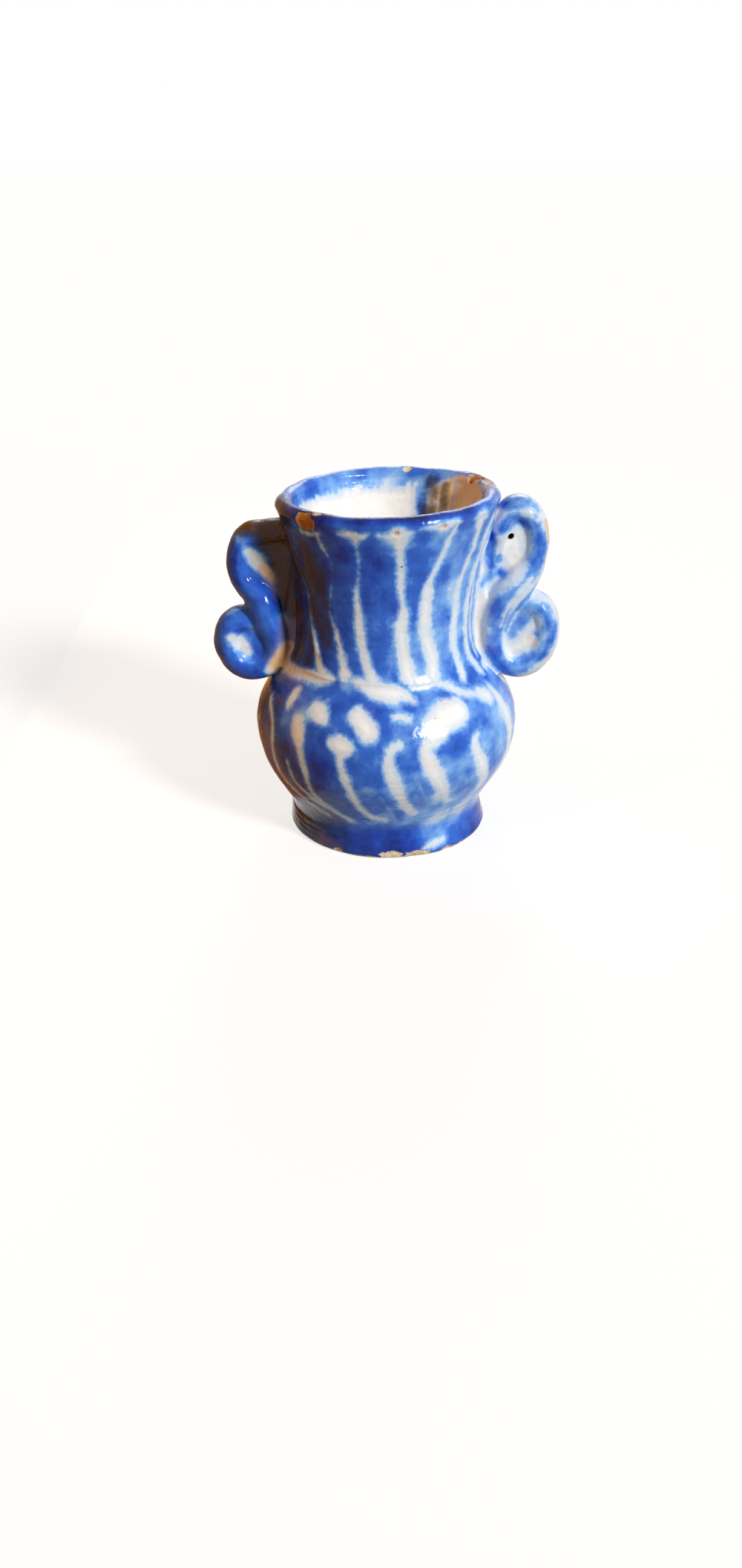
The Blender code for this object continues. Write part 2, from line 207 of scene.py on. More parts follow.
def sagged(spots):
    """Where the soft clay went: a leaning rim that lost its round, a foot that slid, rings and lumps."""
    x, y, z = spots.T
    high = eased((z - NECK_SOFT_FROM) / NECK_SOFT_REACH)
    low = eased((FOOT_SOFT_REACH - z) / FOOT_SOFT_REACH)
    middle = eased((z - BELLY_SOFT_FROM) / BELLY_SOFT_REACH)
    middle = middle * eased((NECK_SOFT_FROM - z) / NECK_STIFF_REACH)
    lip = eased((z - RIM_WAVE_FROM) / RIM_WAVE_REACH)
    angles = angle_of(spots)
    lobes = [push * np.exp(-((turn_between(angles, at) / width) ** 2)) for at, width, push in RIM_LOBES]
    out = sum(lobes) * high
    for rise, size in WALL_LUMPS:
        out = out + rise * grain(spots, size)
    out = out + RING_RISE * grain(spots * RING_STRETCH, RING_SIZE)
    out = out - UNDER_PINCH * np.exp(-(((z - PINCH_HEIGHT) / PINCH_REACH) ** 2))
    out = out + RIM_WAVE * grain(spots + LIP_NOISE_AT, 3.8) * lip
    grown = 1 + out / np.maximum(np.hypot(x, y), 1.0)
    shift = RIM_SHIFT * high + FOOT_SHIFT * low + BELLY_SHIFT * middle
    lean = (RIM_LEAN * x - RIM_DROP) * high + RIM_WAVE * grain(spots * (1.0, 1.0, 0.0), 4.5) * lip
    return np.column_stack((x * grown + shift, y * grown, z + lean))


def flowing(stroke, steps=3):
    """The points of a stroke, with more between them on a curve that passes through all."""
    points = np.array(stroke, dtype=float)
    ends = np.vstack((2 * points[0] - points[1], points, 2 * points[-1] - points[-2]))
    flow = []
    for before, start, end, after in zip(ends, ends[1:], ends[2:], ends[3:]):
        for share in evenly(0, 1, steps)[:-1]:
            bend = (2 * before - 5 * start + 4 * end - after) * share**2
            twist = (3 * start - before - 3 * end + after) * share**3
            flow.append(start + ((end - before) * share + bend + twist) / 2)
    return flow + [points[-1]]


def clear_of(strokes, angles, heights, radii):
    """How far each spot on the wall lies outside the edge of the nearest stroke, in mm.

    A stroke is a row of (degrees, height, width).
    """
    nearest = np.full(angles.shape, FAR)
    for stroke in strokes:
        flow = flowing(stroke)
        for (angle, height, width), (next_angle, next_height, next_width) in zip(flow, flow[1:]):
            across = np.radians(turn_between(angles, angle)) * radii
            along = heights - height
            run = math.radians(turn_between(next_angle, angle)) * radii
            rise = next_height - height
            share = np.clip((across * run + along * rise) / (run * run + rise * rise), 0, 1)
            half = (width + (next_width - width) * share) / 2
            nearest = np.minimum(nearest, np.hypot(across - share * run, along - share * rise) - half)
    return nearest


def washed(washes, angles, heights, radii):
    """How thin the paint lies at each spot, from 0 to 1. A wash is (degrees, height, reach, strength)."""
    thin = np.zeros(angles.shape)
    for angle, height, reach, strength in washes:
        away = np.hypot(np.radians(turn_between(angles, angle)) * radii, heights - height) / reach
        thin = np.maximum(thin, strength * np.exp(-(away**2)))
    return thin


def along_strokes(stains, angles, heights, radii):
    """How strongly each spot is marked along strokes, from 0 to 1: painted shade, and the lip's extra
    cobalt.
    A mark is (strength, fade in mm, stroke).
    """
    strongest = np.zeros(angles.shape)
    for strength, fade, stroke in stains:
        away = np.maximum(clear_of((stroke,), angles, heights, radii), 0) / fade
        strongest = np.maximum(strongest, strength * np.exp(-(away**2)))
    return strongest


# Painted shade: the cobalt is made darker towards the left, the side in shade.
LEFT_SHADE_AT = -58
LEFT_SHADE_SPREAD = 34
LEFT_SHADE_LOAD = 0.5


def left_shade_load(angles):
    """Painted shade: extra cobalt load that darkens the left, where the pot is in shade."""
    return LEFT_SHADE_LOAD * np.exp(-((turn_between(angles, LEFT_SHADE_AT) / LEFT_SHADE_SPREAD) ** 2))


def chipped(mesh, chips, angles, heights, radii):
    """Breaks flakes out of a mesh, and gives how deep inside a flake each vertex lies, in mm.

    A chip is (degrees, height, width, tall, depth).
    """
    spots = spots_of(mesh)
    inwards = -normals_of(mesh)
    ragged = 0.5 * grain(spots, 1.3) + 0.2 * grain(spots, 0.5)
    inside = np.full(angles.shape, -FAR)
    for angle, height, width, tall, depth in chips:
        across = np.radians(turn_between(angles, angle)) * radii / (width / 2)
        away = np.hypot(across, (heights - height) / (tall / 2)) + ragged
        spots = spots + inwards * (depth * np.sqrt(np.clip(1 - away**2, 0, 1)))[:, None]
        inside = np.maximum(inside, (1 - away) * min(width, tall) / 2)
    put_spots(mesh, spots)
    return inside


class Wire:
    """A socket among a material's nodes. Arithmetic on wires adds Math nodes."""

    def __init__(self, tree, socket):
        self.tree = tree
        self.socket = socket

    def node(self, kind, settings, sockets, output=0):
        """Adds a node, with its settings made first, and gives a wire from one of its outputs."""
        made = self.tree.nodes.new(kind)
        for name, value in settings.items():
            if name == "stops":
                for _ in value[2:]:
                    made.color_ramp.elements.new(0.5)
                for stop, (position, colour) in zip(made.color_ramp.elements, value):
                    stop.position = position
                    stop.color = (*colour, 1.0)
            else:
                setattr(made, name, value)
        for name, value in sockets.items():
            self.feed(made.inputs[name], value)
        return Wire(self.tree, made.outputs[output])

    def feed(self, socket, value):
        """Links a wire to a socket, or sets a plain value on it."""
        if isinstance(value, Wire):
            self.tree.links.new(value.socket, socket)
        else:
            socket.default_value = value

    def maths(self, operation, first, second):
        """A Math node on two wires or numbers."""
        return self.node("ShaderNodeMath", {"operation": operation}, {0: first, 1: second})

    def __add__(self, other):
        return self.maths("ADD", self, other)

    def __radd__(self, other):
        return self.maths("ADD", other, self)

    def __sub__(self, other):
        return self.maths("SUBTRACT", self, other)

    def __rsub__(self, other):
        return self.maths("SUBTRACT", other, self)

    def __mul__(self, other):
        return self.maths("MULTIPLY", self, other)

    def __rmul__(self, other):
        return self.maths("MULTIPLY", other, self)

    def greater(self, other):
        """The larger of two."""
        return self.maths("MAXIMUM", self, other)

    def smooth(self, low, high):
        """0 below low, 1 above high, and soft between."""
        return self.node(
            "ShaderNodeMapRange", {"interpolation_type": "SMOOTHSTEP"},
            {"Value": self, "From Min": low, "From Max": high},
        )

    def marked(self, name, output="Fac"):
        """What the mesh keeps under a name."""
        return self.node("ShaderNodeAttribute", {"attribute_name": name}, {}, output)

    def cloud(self, scale, detail=3.0, roughness=0.5):
        """Noise at this wire's place, from about -1 to 1, with that many lumps to the mm."""
        made = self.node(
            "ShaderNodeTexNoise", {},
            {"Vector": self, "Scale": scale, "Detail": detail, "Roughness": roughness},
        )
        return (made - 0.5) * 2.6

    def tinted(self, first, second):
        """A colour between two, by this wire."""
        return self.node("ShaderNodeMix", {"data_type": "RGBA"}, {0: self, 6: first, 7: second}, 2)


GLAZE_WHITE = (0.88, 0.885, 0.875)
GLAZE_PINK = (0.83, 0.735, 0.67)
PALE_BLUE = (0.57, 0.70, 0.85)
LIGHT_BLUE = (0.20, 0.44, 0.88)
MID_BLUE = (0.030, 0.145, 0.66)
DEEP_BLUE = (0.007, 0.052, 0.42)
INK_BLUE = (0.004, 0.016, 0.17)
BUFF_CLAY = (0.92, 0.84, 0.70)
DARK_CLAY = (0.60, 0.46, 0.31)
# Rust red of bare clay; on the foot's left it also stands in for painted warm shade.
RUST_AND_WARM_SHADE = (0.36, 0.13, 0.02)
# Painted shade: the tan that white glaze shows in warm shade light.
WARM_SHADE_TAN = (0.80, 0.50, 0.23)
# Painted shade: near black for shade, and brown where it is marked strongest.
DARK_SHADE_COLOUR = (0.030, 0.024, 0.028)
BROWN_SHADE_COLOUR = (0.10, 0.045, 0.018)
# Painted shade: the black inside a pinhole.
PINHOLE_SHADE_BLACK = (0.012, 0.009, 0.008)
THIN_WEIGHT = 0.5


def tin_glaze(name, body, streak=0.05):
    """Milky glaze that took up cobalt from the brush, over buff clay that shows where it has chipped.

    body is how heavily the brush was loaded, from 0 to 1, and streak how much its hairs show.
    """
    material = bpy.data.materials.new(name)
    material.use_nodes = True
    tree = material.node_tree
    shader = tree.nodes["Principled BSDF"]
    place = Wire(tree, tree.nodes.new("ShaderNodeTexCoord").outputs["Object"])
    spot = place.node("ShaderNodeVectorMath", {"operation": "SCALE"}, {0: place, "Scale": 1 / MM})
    brushed = spot.marked("brush", "Vector")
    banded = spot.node("ShaderNodeVectorMath", {"operation": "MULTIPLY"}, {0: spot, 1: (0.07, 0.07, 1.0)})
    hairs = spot.node("ShaderNodeVectorMath", {"operation": "MULTIPLY"}, {0: spot, 1: (0.3, 0.3, 1.0)})

    wide = spot.cloud(0.11, 2.0)
    broad = spot.cloud(0.34, 2.0, 0.4)
    feather = spot.cloud(1.2, 3.0, 0.55)
    fuzz = spot.cloud(3.4, 2.0)
    speckle = spot.cloud(6.0, 2.0)
    tufts = hairs.cloud(2.4, 2.0, 0.6)
    streaks = brushed.cloud(0.9, 3.0)
    rings = banded.cloud(0.55, 3.0)

    inked = spot.marked("paint")
    edge = inked + broad * 0.28 + feather * 0.34 + tufts * 0.07 + fuzz * 0.06
    cover = edge.smooth(-0.45, 0.95)
    halo = edge.smooth(-1.7, 0.2)
    load = body + inked.smooth(0.4, 2.2) * 0.08 + wide * 0.16 + broad * 0.24 + feather * 0.06
    # thin also carries painted shade: below zero, at the left, it darkens the cobalt.
    load = load + fuzz * 0.02 + streaks * streak + rings * 0.07 - spot.marked("thin") * THIN_WEIGHT
    depth = (cover * load).greater(halo * 0.08)
    blue = depth.node("ShaderNodeValToRGB", {"stops": (
        (0.0, GLAZE_WHITE), (0.08, PALE_BLUE), (0.24, LIGHT_BLUE),
        (0.50, MID_BLUE), (0.80, DEEP_BLUE), (1.0, INK_BLUE),
    )}, {0: depth})
    blush = (broad + feather * 0.3).smooth(-0.1, 0.9) * (1 - cover) * 0.6
    glazed = blush.tinted(blue, (*GLAZE_PINK, 1.0))
    # Painted warm shade: white glaze turns tan where the mesh marks it, on the left and inside.
    warm_shaded = (spot.marked("brown") + broad * 0.2 + feather * 0.15).smooth(0.15, 0.8)
    glazed = (warm_shaded * (1 - cover * 0.75)).tinted(glazed, (*WARM_SHADE_TAN, 1.0))
    # Painted shade: near black where the mesh marks shade, brown where marked strongest.
    dark_shaded = spot.marked("burnt") + broad * 0.22 + feather * 0.12
    glazed = (dark_shaded.smooth(0.1, 0.65) * 0.8).tinted(glazed, (*DARK_SHADE_COLOUR, 1.0))
    glazed = dark_shaded.smooth(0.6, 0.95).tinted(glazed, (*BROWN_SHADE_COLOUR, 1.0))

    bare = (spot.marked("chip") + speckle * 0.10 + feather * 0.06).smooth(-0.04, 0.06)
    mottle = (feather * 0.6 + speckle * 0.5).smooth(-0.7, 0.9)
    clay = mottle.tinted((*DARK_CLAY, 1.0), (*BUFF_CLAY, 1.0))
    # Bare clay takes the rust red: real rust on the lip's chips, and on the foot's left also painted warm
    # shade.
    reddened = (spot.marked("stain") + feather * 0.2).smooth(0.2, 0.8)
    clay = reddened.tinted(clay, (*RUST_AND_WARM_SHADE, 1.0))
    pin = spot.node("ShaderNodeTexVoronoi", {}, {"Vector": spot, "Scale": 0.4, "Randomness": 1.0})
    pit = 1 - pin.smooth(0.02, 0.05)
    bead = 1 - spot.node("ShaderNodeTexVoronoi", {}, {"Vector": spot, "Scale": 0.6}).smooth(0.01, 0.09)
    colour = bare.tinted(glazed, clay)
    colour = (pit * 0.45).tinted(colour, (*INK_BLUE, 1.0))
    # Painted shade: pinholes are painted black, for the dark inside them.
    colour = spot.marked("hole").smooth(0.25, 0.6).tinted(colour, (*PINHOLE_SHADE_BLACK, 1.0))

    shader.inputs["Specular IOR Level"].default_value = 0.2
    place.feed(shader.inputs["Base Color"], colour)
    place.feed(shader.inputs["Roughness"], 0.06 + bare * 0.6 + (feather * 0.5 + 0.5) * 0.04)
    swell = spot.cloud(0.28, 2.0) * 0.05 + feather * 0.026 + streaks * 0.02 + rings * 0.010 + bead * 0.045
    height = swell + speckle * 0.004 - pit * 0.06 + bare * (speckle * 0.04 - 0.05)
    bump = height.node("ShaderNodeBump", {}, {"Height": height, "Distance": MM, "Strength": 1.0})
    place.feed(shader.inputs["Normal"], bump)
    return material


def shown(name, mesh, material, nodes):
    """Shows a finished mesh as a piece of the pot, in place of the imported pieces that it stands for."""
    mesh.materials.append(material)
    piece = bpy.data.objects.new(name, mesh)
    bpy.context.scene.collection.objects.link(piece)
    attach(piece, "root")
    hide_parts(*nodes)


foot_outline = [(FOOT_BORE, 0.0)]
foot_outline += arc((FOOT_RADIUS - FOOT_EDGE_ROUND, FOOT_EDGE_ROUND), FOOT_EDGE_ROUND, -90, 0, 10)
foot_outline += [(foot_side(height), height) for height in evenly(FOOT_EDGE_ROUND, CREASE_HEIGHT, 26)[1:]]
foot_outline += [
    (radius, under_height(radius) + FOOT_LAP) for radius in evenly(FOOT_TOP_RADIUS, FOOT_BORE, 8)
]
foot_mesh = thrown("foot", foot_outline)

# Chips are (degrees round the pot, height, width, tall, depth) and washes (degrees, height, reach,
# strength). Painted shades are (strength, fade in mm, stroke); strokes are rows of (degrees, height,
# width).
FOOT_CHIPS = (
    (2, 0.9, 4.0, 1.5, 0.35), (17, 0.7, 4.4, 1.3, 0.35), (-30, 0.5, 1.6, 1.0, 0.25),
    (36, 0.4, 3, 0.9, 0.2),
)
FOOT_WASHES = (
    (18, 3.6, 3.6, 0.5), (32, 4.4, 4.4, 1.15), (24, 5.6, 4.2, 1.05), (44, 5.8, 5.0, 1.2),
    (60, 6.2, 3.6, 0.8), (14, 5.9, 3.0, 0.5), (24, 1.6, 2.2, 0.4),
)
# Painted shade on the foot's left: near black where deepest, tan on the white.
FOOT_DARK_SHADE = ((0.56, 3.0, ((-96, 4.0, 3.0), (-74, 3.6, 3.4), (-56, 3.0, 2.0))),)
FOOT_WARM_SHADE = (
    (0.45, 1.8, ((-32, 0.6, 0.8), (-44, 0.9, 1.4), (-56, 0.7, 1.0))),
    (0.5, 2.0, ((-70, 1.4, 1.0), (-84, 2.6, 1.6))),
)
# Painted highlight: a white gap in the foot's cobalt, laid where a highlight falls.
FOOT_HIGHLIGHT_GAP = (((21, 1.5, 0.3), (27, 1.9, 0.9), (34, 2.4, 0.3)),)
WIPED_HEIGHT = 0.40
WIPED_RAGGED = 0.45
TREAD_KEPT = 0.3  # how much sooner the bare clay ends on the inner side
# Bare clay of the foot reddens towards the left: real rust, and painted warm shade on the side in shade.
REDDER_AT = -10
REDDER_FROM = 10  # degrees to the left of there
REDDER_REACH = 60
RUST_LEAST = 0.05
REDDER_LEFT_MORE = 0.6
FOOT_LOAD = 0.80

spots = spots_of(foot_mesh)
wall = on_wall(spots)
angles, heights, radii = wall
put_spots(foot_mesh, sagged(spots))
chip = chipped(foot_mesh, FOOT_CHIPS, *wall)
inner_side = radii < FOOT_RADIUS - FOOT_TREAD
worn = WIPED_HEIGHT - heights + WIPED_RAGGED * grain(spots, 1.2)
worn = worn + TREAD_KEPT * np.where(inner_side, -heights, 0)
rust_and_warm_shade_left = eased((-turn_between(angles, REDDER_AT) - REDDER_FROM) / REDDER_REACH)
# Painted light on the foot: a white gap for a highlight; at the left darker cobalt, redder bare clay, tan
# and near black for shade.
mark(foot_mesh, "paint", clear_of(FOOT_HIGHLIGHT_GAP, *wall))
mark(foot_mesh, "thin", washed(FOOT_WASHES, *wall) - left_shade_load(angles))
mark(foot_mesh, "chip", np.maximum(chip, worn))
mark(foot_mesh, "stain", RUST_LEAST + REDDER_LEFT_MORE * rust_and_warm_shade_left)
mark(foot_mesh, "brown", along_strokes(FOOT_WARM_SHADE, *wall))
mark(foot_mesh, "burnt", along_strokes(FOOT_DARK_SHADE, *wall))
mark(foot_mesh, "brush", spots * (0.2, 0.2, 1.0))
foot_glaze = tin_glaze("foot_glaze", FOOT_LOAD)
shown("foot", foot_mesh, foot_glaze, ("foot_ring",))

# Belly: a squat bowl thrown in one with its floor, three mm thick, dipped in tin glaze and then
# painted with slanting cobalt strokes that leave thin lines and patches of white between them.
BELLY_SHOULDER_RISE = 15.9
BELLY_WALL = 3.0
FLOOR_UNDERSIDE = 2.0
FLOOR_THICKNESS = 3.2
NECK_BASE_RADIUS = 16.7
NECK_WALL = 2.8


def bowl(start, end, rise, steps, grow=0.0):
    """Points (radius, rise) on one half of the bowl, from one radius to another."""
    wide, tall = BELLY_RADIUS + grow, rise + grow
    turns = evenly(math.acos(min(1.0, start / wide)), math.acos(min(1.0, end / wide)), steps)
    return [(wide * math.cos(turn), tall * math.sin(turn)) for turn in turns]


def radius_below(height):
    """Radius of the bowl's outside at a height below its widest circle."""
    return BELLY_RADIUS * math.sqrt(1 - ((BELLY_EQUATOR - height) / BELLY_UNDER_RISE) ** 2)


flat_radius = radius_below(FLOOR_UNDERSIDE)
mouth_radius = NECK_BASE_RADIUS - NECK_WALL
inner_radius = BELLY_RADIUS - BELLY_WALL
floor_height = FLOOR_UNDERSIDE + FLOOR_THICKNESS
floor_drop = (BELLY_EQUATOR - floor_height) / (BELLY_UNDER_RISE - BELLY_WALL)
floor_radius = inner_radius * math.sqrt(1 - floor_drop**2)
belly_outline = [(0.0, FLOOR_UNDERSIDE)]
under = bowl(flat_radius, BELLY_RADIUS, BELLY_UNDER_RISE, 100)
belly_outline += [(radius, BELLY_EQUATOR - drop) for radius, drop in under]
shoulder = bowl(BELLY_RADIUS, NECK_BASE_RADIUS, BELLY_SHOULDER_RISE, 60)
belly_outline += [(radius, BELLY_EQUATOR + rise) for radius, rise in shoulder[1:]]
seam_height = belly_outline[-1][1]
belly_outline += [(mouth_radius, seam_height)]
shoulder_inside = bowl(mouth_radius, inner_radius, BELLY_SHOULDER_RISE, 12, -BELLY_WALL)
belly_outline += [(radius, BELLY_EQUATOR + rise) for radius, rise in shoulder_inside]
under_inside = bowl(inner_radius, floor_radius, BELLY_UNDER_RISE, 14, -BELLY_WALL)
belly_outline += [(radius, BELLY_EQUATOR - drop) for radius, drop in under_inside[1:]]
belly_outline += [(0.0, floor_height)]
belly_mesh = thrown("belly", belly_outline, closed=False)

# White left between the strokes, as rows of (degrees round the pot, height, width)
BASE_BANDS = (
    ((-85, 30.0, 1.2), (-59, 30.9, 1.6), (-39, 31.7, 1.8), (-33, 31.9, 0.8)),
    (
        (-19, 32.2, 0.6), (-13, 31.6, 1.6), (-5, 30.9, 2.6), (3, 30.5, 2.3), (9, 30.3, 1.5),
        (14, 29.4, 0.5),
    ),
    ((14, 31.6, 1.0), (22, 31.5, 0.9), (32, 31.2, 0.7), (42, 29.4, 0.9), (50, 28.6, 0.5)),
    ((75, 30.6, 0.8), (110, 31.2, 1.6), (150, 30.8, 1.2)),
    ((162, 31.2, 1.0), (190, 31.4, 1.8), (235, 30.9, 1.4), (275, 30.2, 1.2)),
)
SHOULDER_PATCHES = (
    ((-53, 28.6, 1.4), (-53, 26.9, 1.2)),
    ((-36, 27.6, 1.8), (-33, 27.0, 2.6), (-30, 26.4, 1.2)),
    ((-14, 27.4, 2.6), (-8.5, 25.5, 3.2)),
    ((3, 27.4, 0.2), (6, 27.5, 0.9), (10, 27.2, 0.5)),
    ((21, 25.7, 3.7), (28, 26.8, 4.4), (35, 27.2, 3.8)),
    ((24, 25.0, 3.0), (19, 23.6, 2.2)),
    ((54, 28.3, 1.8), (58, 27.6, 2.2)),
)
BELLY_LINES = (
    (
        (-70, 26, 0.5), (-60, 23, 0.5), (-59, 19.7, 0.5), (-58, 16, 0.6), (-54, 12.5, 0.7),
        (-41, 8.8, 0.7), (-32, 7.4, 0.5),
    ),
    ((-48, 17.5, 0.2), (-46, 13.7, 0.4), (-39, 11.2, 0.5), (-32, 9.6, 0.5), (-19, 7.2, 0.4)),
    (
        (-44, 25, 1.6), (-42, 23.4, 2.4), (-40, 21, 1.0), (-38, 17.4, 0.9), (-37, 13.3, 0.8),
        (-33, 10.7, 0.7), (-19, 7.2, 0.3),
    ),
    (
        (-24, 23.2, 1.6), (-19.5, 22.8, 2.8), (-17, 22.2, 1.6), (-20, 21, 1.2), (-19, 18, 0.9),
        (-16, 14.6, 1.0), (-13, 11.3, 0.9), (-7, 8.8, 0.8), (0, 8, 0.5),
    ),
    ((-24.5, 22.7, 0.5), (-15, 22.4, 0.6)),
    ((5, 23.6, 0.6), (1, 22.4, 1.1), (1, 19, 1.8), (5, 15, 1.7), (9, 11.8, 1.4), (14, 9.5, 0.9)),
    ((19, 23.7, 2.0), (16, 22.3, 1.8), (19, 19.1, 2.8), (25, 14.6, 1.7), (31, 11, 0.3)),
    ((42, 23.1, 0.6), (40, 21.6, 1.4), (45, 17.5, 2.0), (50, 13.8, 1.6), (50, 12, 0.8)),
    ((64, 28.2, 1.0), (66, 25.4, 1.9), (68, 21.5, 2.2), (69, 16.5, 1.6), (62, 13, 0.5)),
)
FAINT_LINES = (
    ((-3, 14, 0.2), (1, 11.3, 0.5), (6, 7.9, 0.6)),
    ((12, 17.5, 0.2), (16, 14.3, 0.6), (21, 11.1, 0.5)),
    ((36, 16.4, 0.5), (41, 11.3, 0.6)),
)
BELLY_WASHES = (
    (30, 6.6, 4.4, 1.2), (46, 7.0, 4.6, 1.25), (62, 8.4, 4.0, 0.8), (20, 8, 5.5, 0.75),
    (34, 8.5, 5.5, 0.7), (46, 11, 5, 0.55), (8, 17, 4, 0.5), (-8, 14, 3.5, 0.3), (10, 24.5, 3.0, 0.45),
    (36, 18, 6, 0.6), (58, 19, 6, 0.65), (26, 12, 6, 0.65), (45, 26, 4, 0.5), (-26, 25, 3, 0.3),
    (0, 10, 4, 0.4), (14, 20, 4, 0.4), (70, 12, 6, 0.5), (62, 24, 6, 0.75), (50, 21, 4, 0.65),
    (44, 15, 4, 0.6), (-42, 26.4, 3.6, 1.0), (-50, 24.0, 2.6, 0.8), (-32, 24.6, 2.4, 0.5),
)
NECK_WASHES = (
    (44, 47, 5, 0.75), (62, 40, 6, 0.7), (36, 42, 4, 0.5), (20, 38, 4, 0.45), (58, 50, 6, 0.6),
    (27, 53, 3, 0.35), (40, 54, 4, 0.4), (70, 52, 5, 0.6), (40, 38, 4, 0.5), (20, 33, 2.4, 0.6),
    (-24, 31.8, 2.6, 0.6), (24, 30, 3, 0.35), (0, 41, 3, 0.25), (16, 46, 3, 0.2), (-2, 48, 3, 0.15),
    (-75, 60.5, 6, 0.35), (-105, 61, 7, 0.5), (-150, 61, 6, 0.6), (175, 61, 6, 0.65), (140, 61, 5, 0.5),
    (90, 60, 5, 0.35), (70, 60, 4, 0.5), (-20, 57.4, 2.0, 0.7), (4, 57.0, 2.4, 0.7),
    (28, 58.0, 2.4, 0.8), (53, 58.0, 2.2, 0.7),
)
# Painted shade on the left of shoulder and bowl: tan on the white, and near black where deepest.
BELLY_WARM_SHADE = (
    (0.36, 2.6, ((-72, 29.6, 1.6), (-60, 28.6, 2.4), (-48, 27.4, 1.6))),
    (0.40, 2.2, ((-44, 25.4, 1.2), (-42, 22.4, 1.6), (-40, 19.0, 0.6))),
    (0.36, 3.0, ((-62, 22.0, 1.0), (-60, 16.0, 1.6), (-54, 11.0, 1.0))),
)
BELLY_DARK_SHADE = (
    (0.48, 4.0, ((-88, 30.5, 2), (-84, 25, 5), (-82, 18, 5), (-78, 11, 3), (-74, 7, 2))),
)
STROKE_SLANT = 1.1  # degrees round for each mm down
HAIRS_ALONG = 0.09  # how fast the marks of the hairs change along a stroke, against across it
FAINT_WASH = 0.75
FAINT_REACH = 0.5
FAINT_SOFT = 0.9
MID_WALL_RADIUS = 21.2
MID_WALL_RISE = 17.5
UNPAINTED = -3.0
BODY_LOAD = 0.55


def slanted_brush(spots):
    """Brush coordinates for strokes that run down the wall and round to the right."""
    turn = np.radians(STROKE_SLANT * (spots[:, 2] - BELLY_EQUATOR))
    x = spots[:, 0] * np.cos(turn) + spots[:, 1] * np.sin(turn)
    y = spots[:, 1] * np.cos(turn) - spots[:, 0] * np.sin(turn)
    return np.column_stack((x, y, spots[:, 2] * HAIRS_ALONG))


def unbroken(mesh):
    """Marks a mesh as one that has lost none of its glaze."""
    count = len(mesh.vertices)
    mark(mesh, "chip", np.full(count, -FAR))
    mark(mesh, "stain", np.zeros(count))


draw = random.Random(7)
back_lines = []
for at in range(84, 282, 15):
    start = at + draw.uniform(-4, 4)
    top = draw.uniform(21, 27)
    widths = [draw.uniform(0.4, 1.8) for _ in range(3)]
    back_lines.append((
        (start, top, widths[0]), (start - 2, top - 4, widths[1]),
        (start + 6, 12.5, widths[2]), (start + 16, 8.5, 0.4),
    ))
    if draw.random() < 0.5:
        back_lines.append(((start + 3, 28, 1.2), (start + 6, 26.6, draw.uniform(1.4, 3.4))))

spots = spots_of(belly_mesh)
wall = on_wall(spots)
angles, heights, radii = wall
mid_wall = np.sqrt(np.clip(1 - ((heights - BELLY_EQUATOR) / MID_WALL_RISE) ** 2, 0, 1)) * MID_WALL_RADIUS
outside = (radii > inner_radius) | (radii > mid_wall)
put_spots(belly_mesh, sagged(spots))
gaps = BASE_BANDS + SHOULDER_PATCHES + BELLY_LINES + tuple(back_lines)
faint = FAINT_WASH * eased((FAINT_REACH - clear_of(FAINT_LINES, *wall)) / FAINT_SOFT)
thin = np.maximum(washed(BELLY_WASHES + NECK_WASHES, *wall), faint)
mark(belly_mesh, "paint", np.where(outside, clear_of(gaps, *wall), UNPAINTED))
# The left of the bowl gets painted shade: darker cobalt, tan on the white, and near black.
mark(belly_mesh, "thin", thin - left_shade_load(angles))
mark(belly_mesh, "brown", np.where(outside, along_strokes(BELLY_WARM_SHADE, *wall), 0.0))
mark(belly_mesh, "burnt", np.where(outside, along_strokes(BELLY_DARK_SHADE, *wall), 0.0))
mark(belly_mesh, "brush", slanted_brush(spots))
unbroken(belly_mesh)
body_glaze = tin_glaze("body_glaze", BODY_LOAD)
shown("belly", belly_mesh, body_glaze, ("belly",))

# Slip at the foot: a bead of soft clay wiped with a finger into the corner between foot and bowl. The
# cobalt of the foot and the strokes of the bowl run together over it.
FOOT_FILLET = 1.8
HEEL_BOTTOM = 4.3
HEEL_TOP = 7.9
HEEL_EDGE = 0.05
HEEL_TUCK = 0.5
HEEL_ROOT = (16.2, 5.9)
HEEL_PROUD = 0.012
MEETING_HEIGHT = 4.4  # from here up, the looks of the foot turn into those of the bowl
MEETING_REACH = 2.6
COLLAR_HEIGHT = 6.0
COLLAR_PAINT = 2.0  # mm by which the collar's cobalt runs in over each white gap


def foot_filled_radius(height):
    """Radius of foot and bowl with the corner between them filled."""
    foot_at, bowl_at = foot_side(height), radius_below(height)
    lap = max(0.0, 1 - abs(foot_at - bowl_at) / FOOT_FILLET)
    return max(foot_at, bowl_at) + FOOT_FILLET * lap * lap / 4


heel_outline = [
    (foot_filled_radius(height) + HEEL_PROUD, height) for height in evenly(HEEL_BOTTOM, HEEL_TOP, 36)
]
heel_outline += [
    (heel_outline[-1][0] - HEEL_TUCK, HEEL_TOP + HEEL_EDGE), HEEL_ROOT,
    (heel_outline[0][0] - HEEL_TUCK, HEEL_BOTTOM - HEEL_EDGE),
]
heel_mesh = thrown("foot_bead", heel_outline)
spots = spots_of(heel_mesh)
wall = on_wall(spots)
angles, heights = wall[:2]
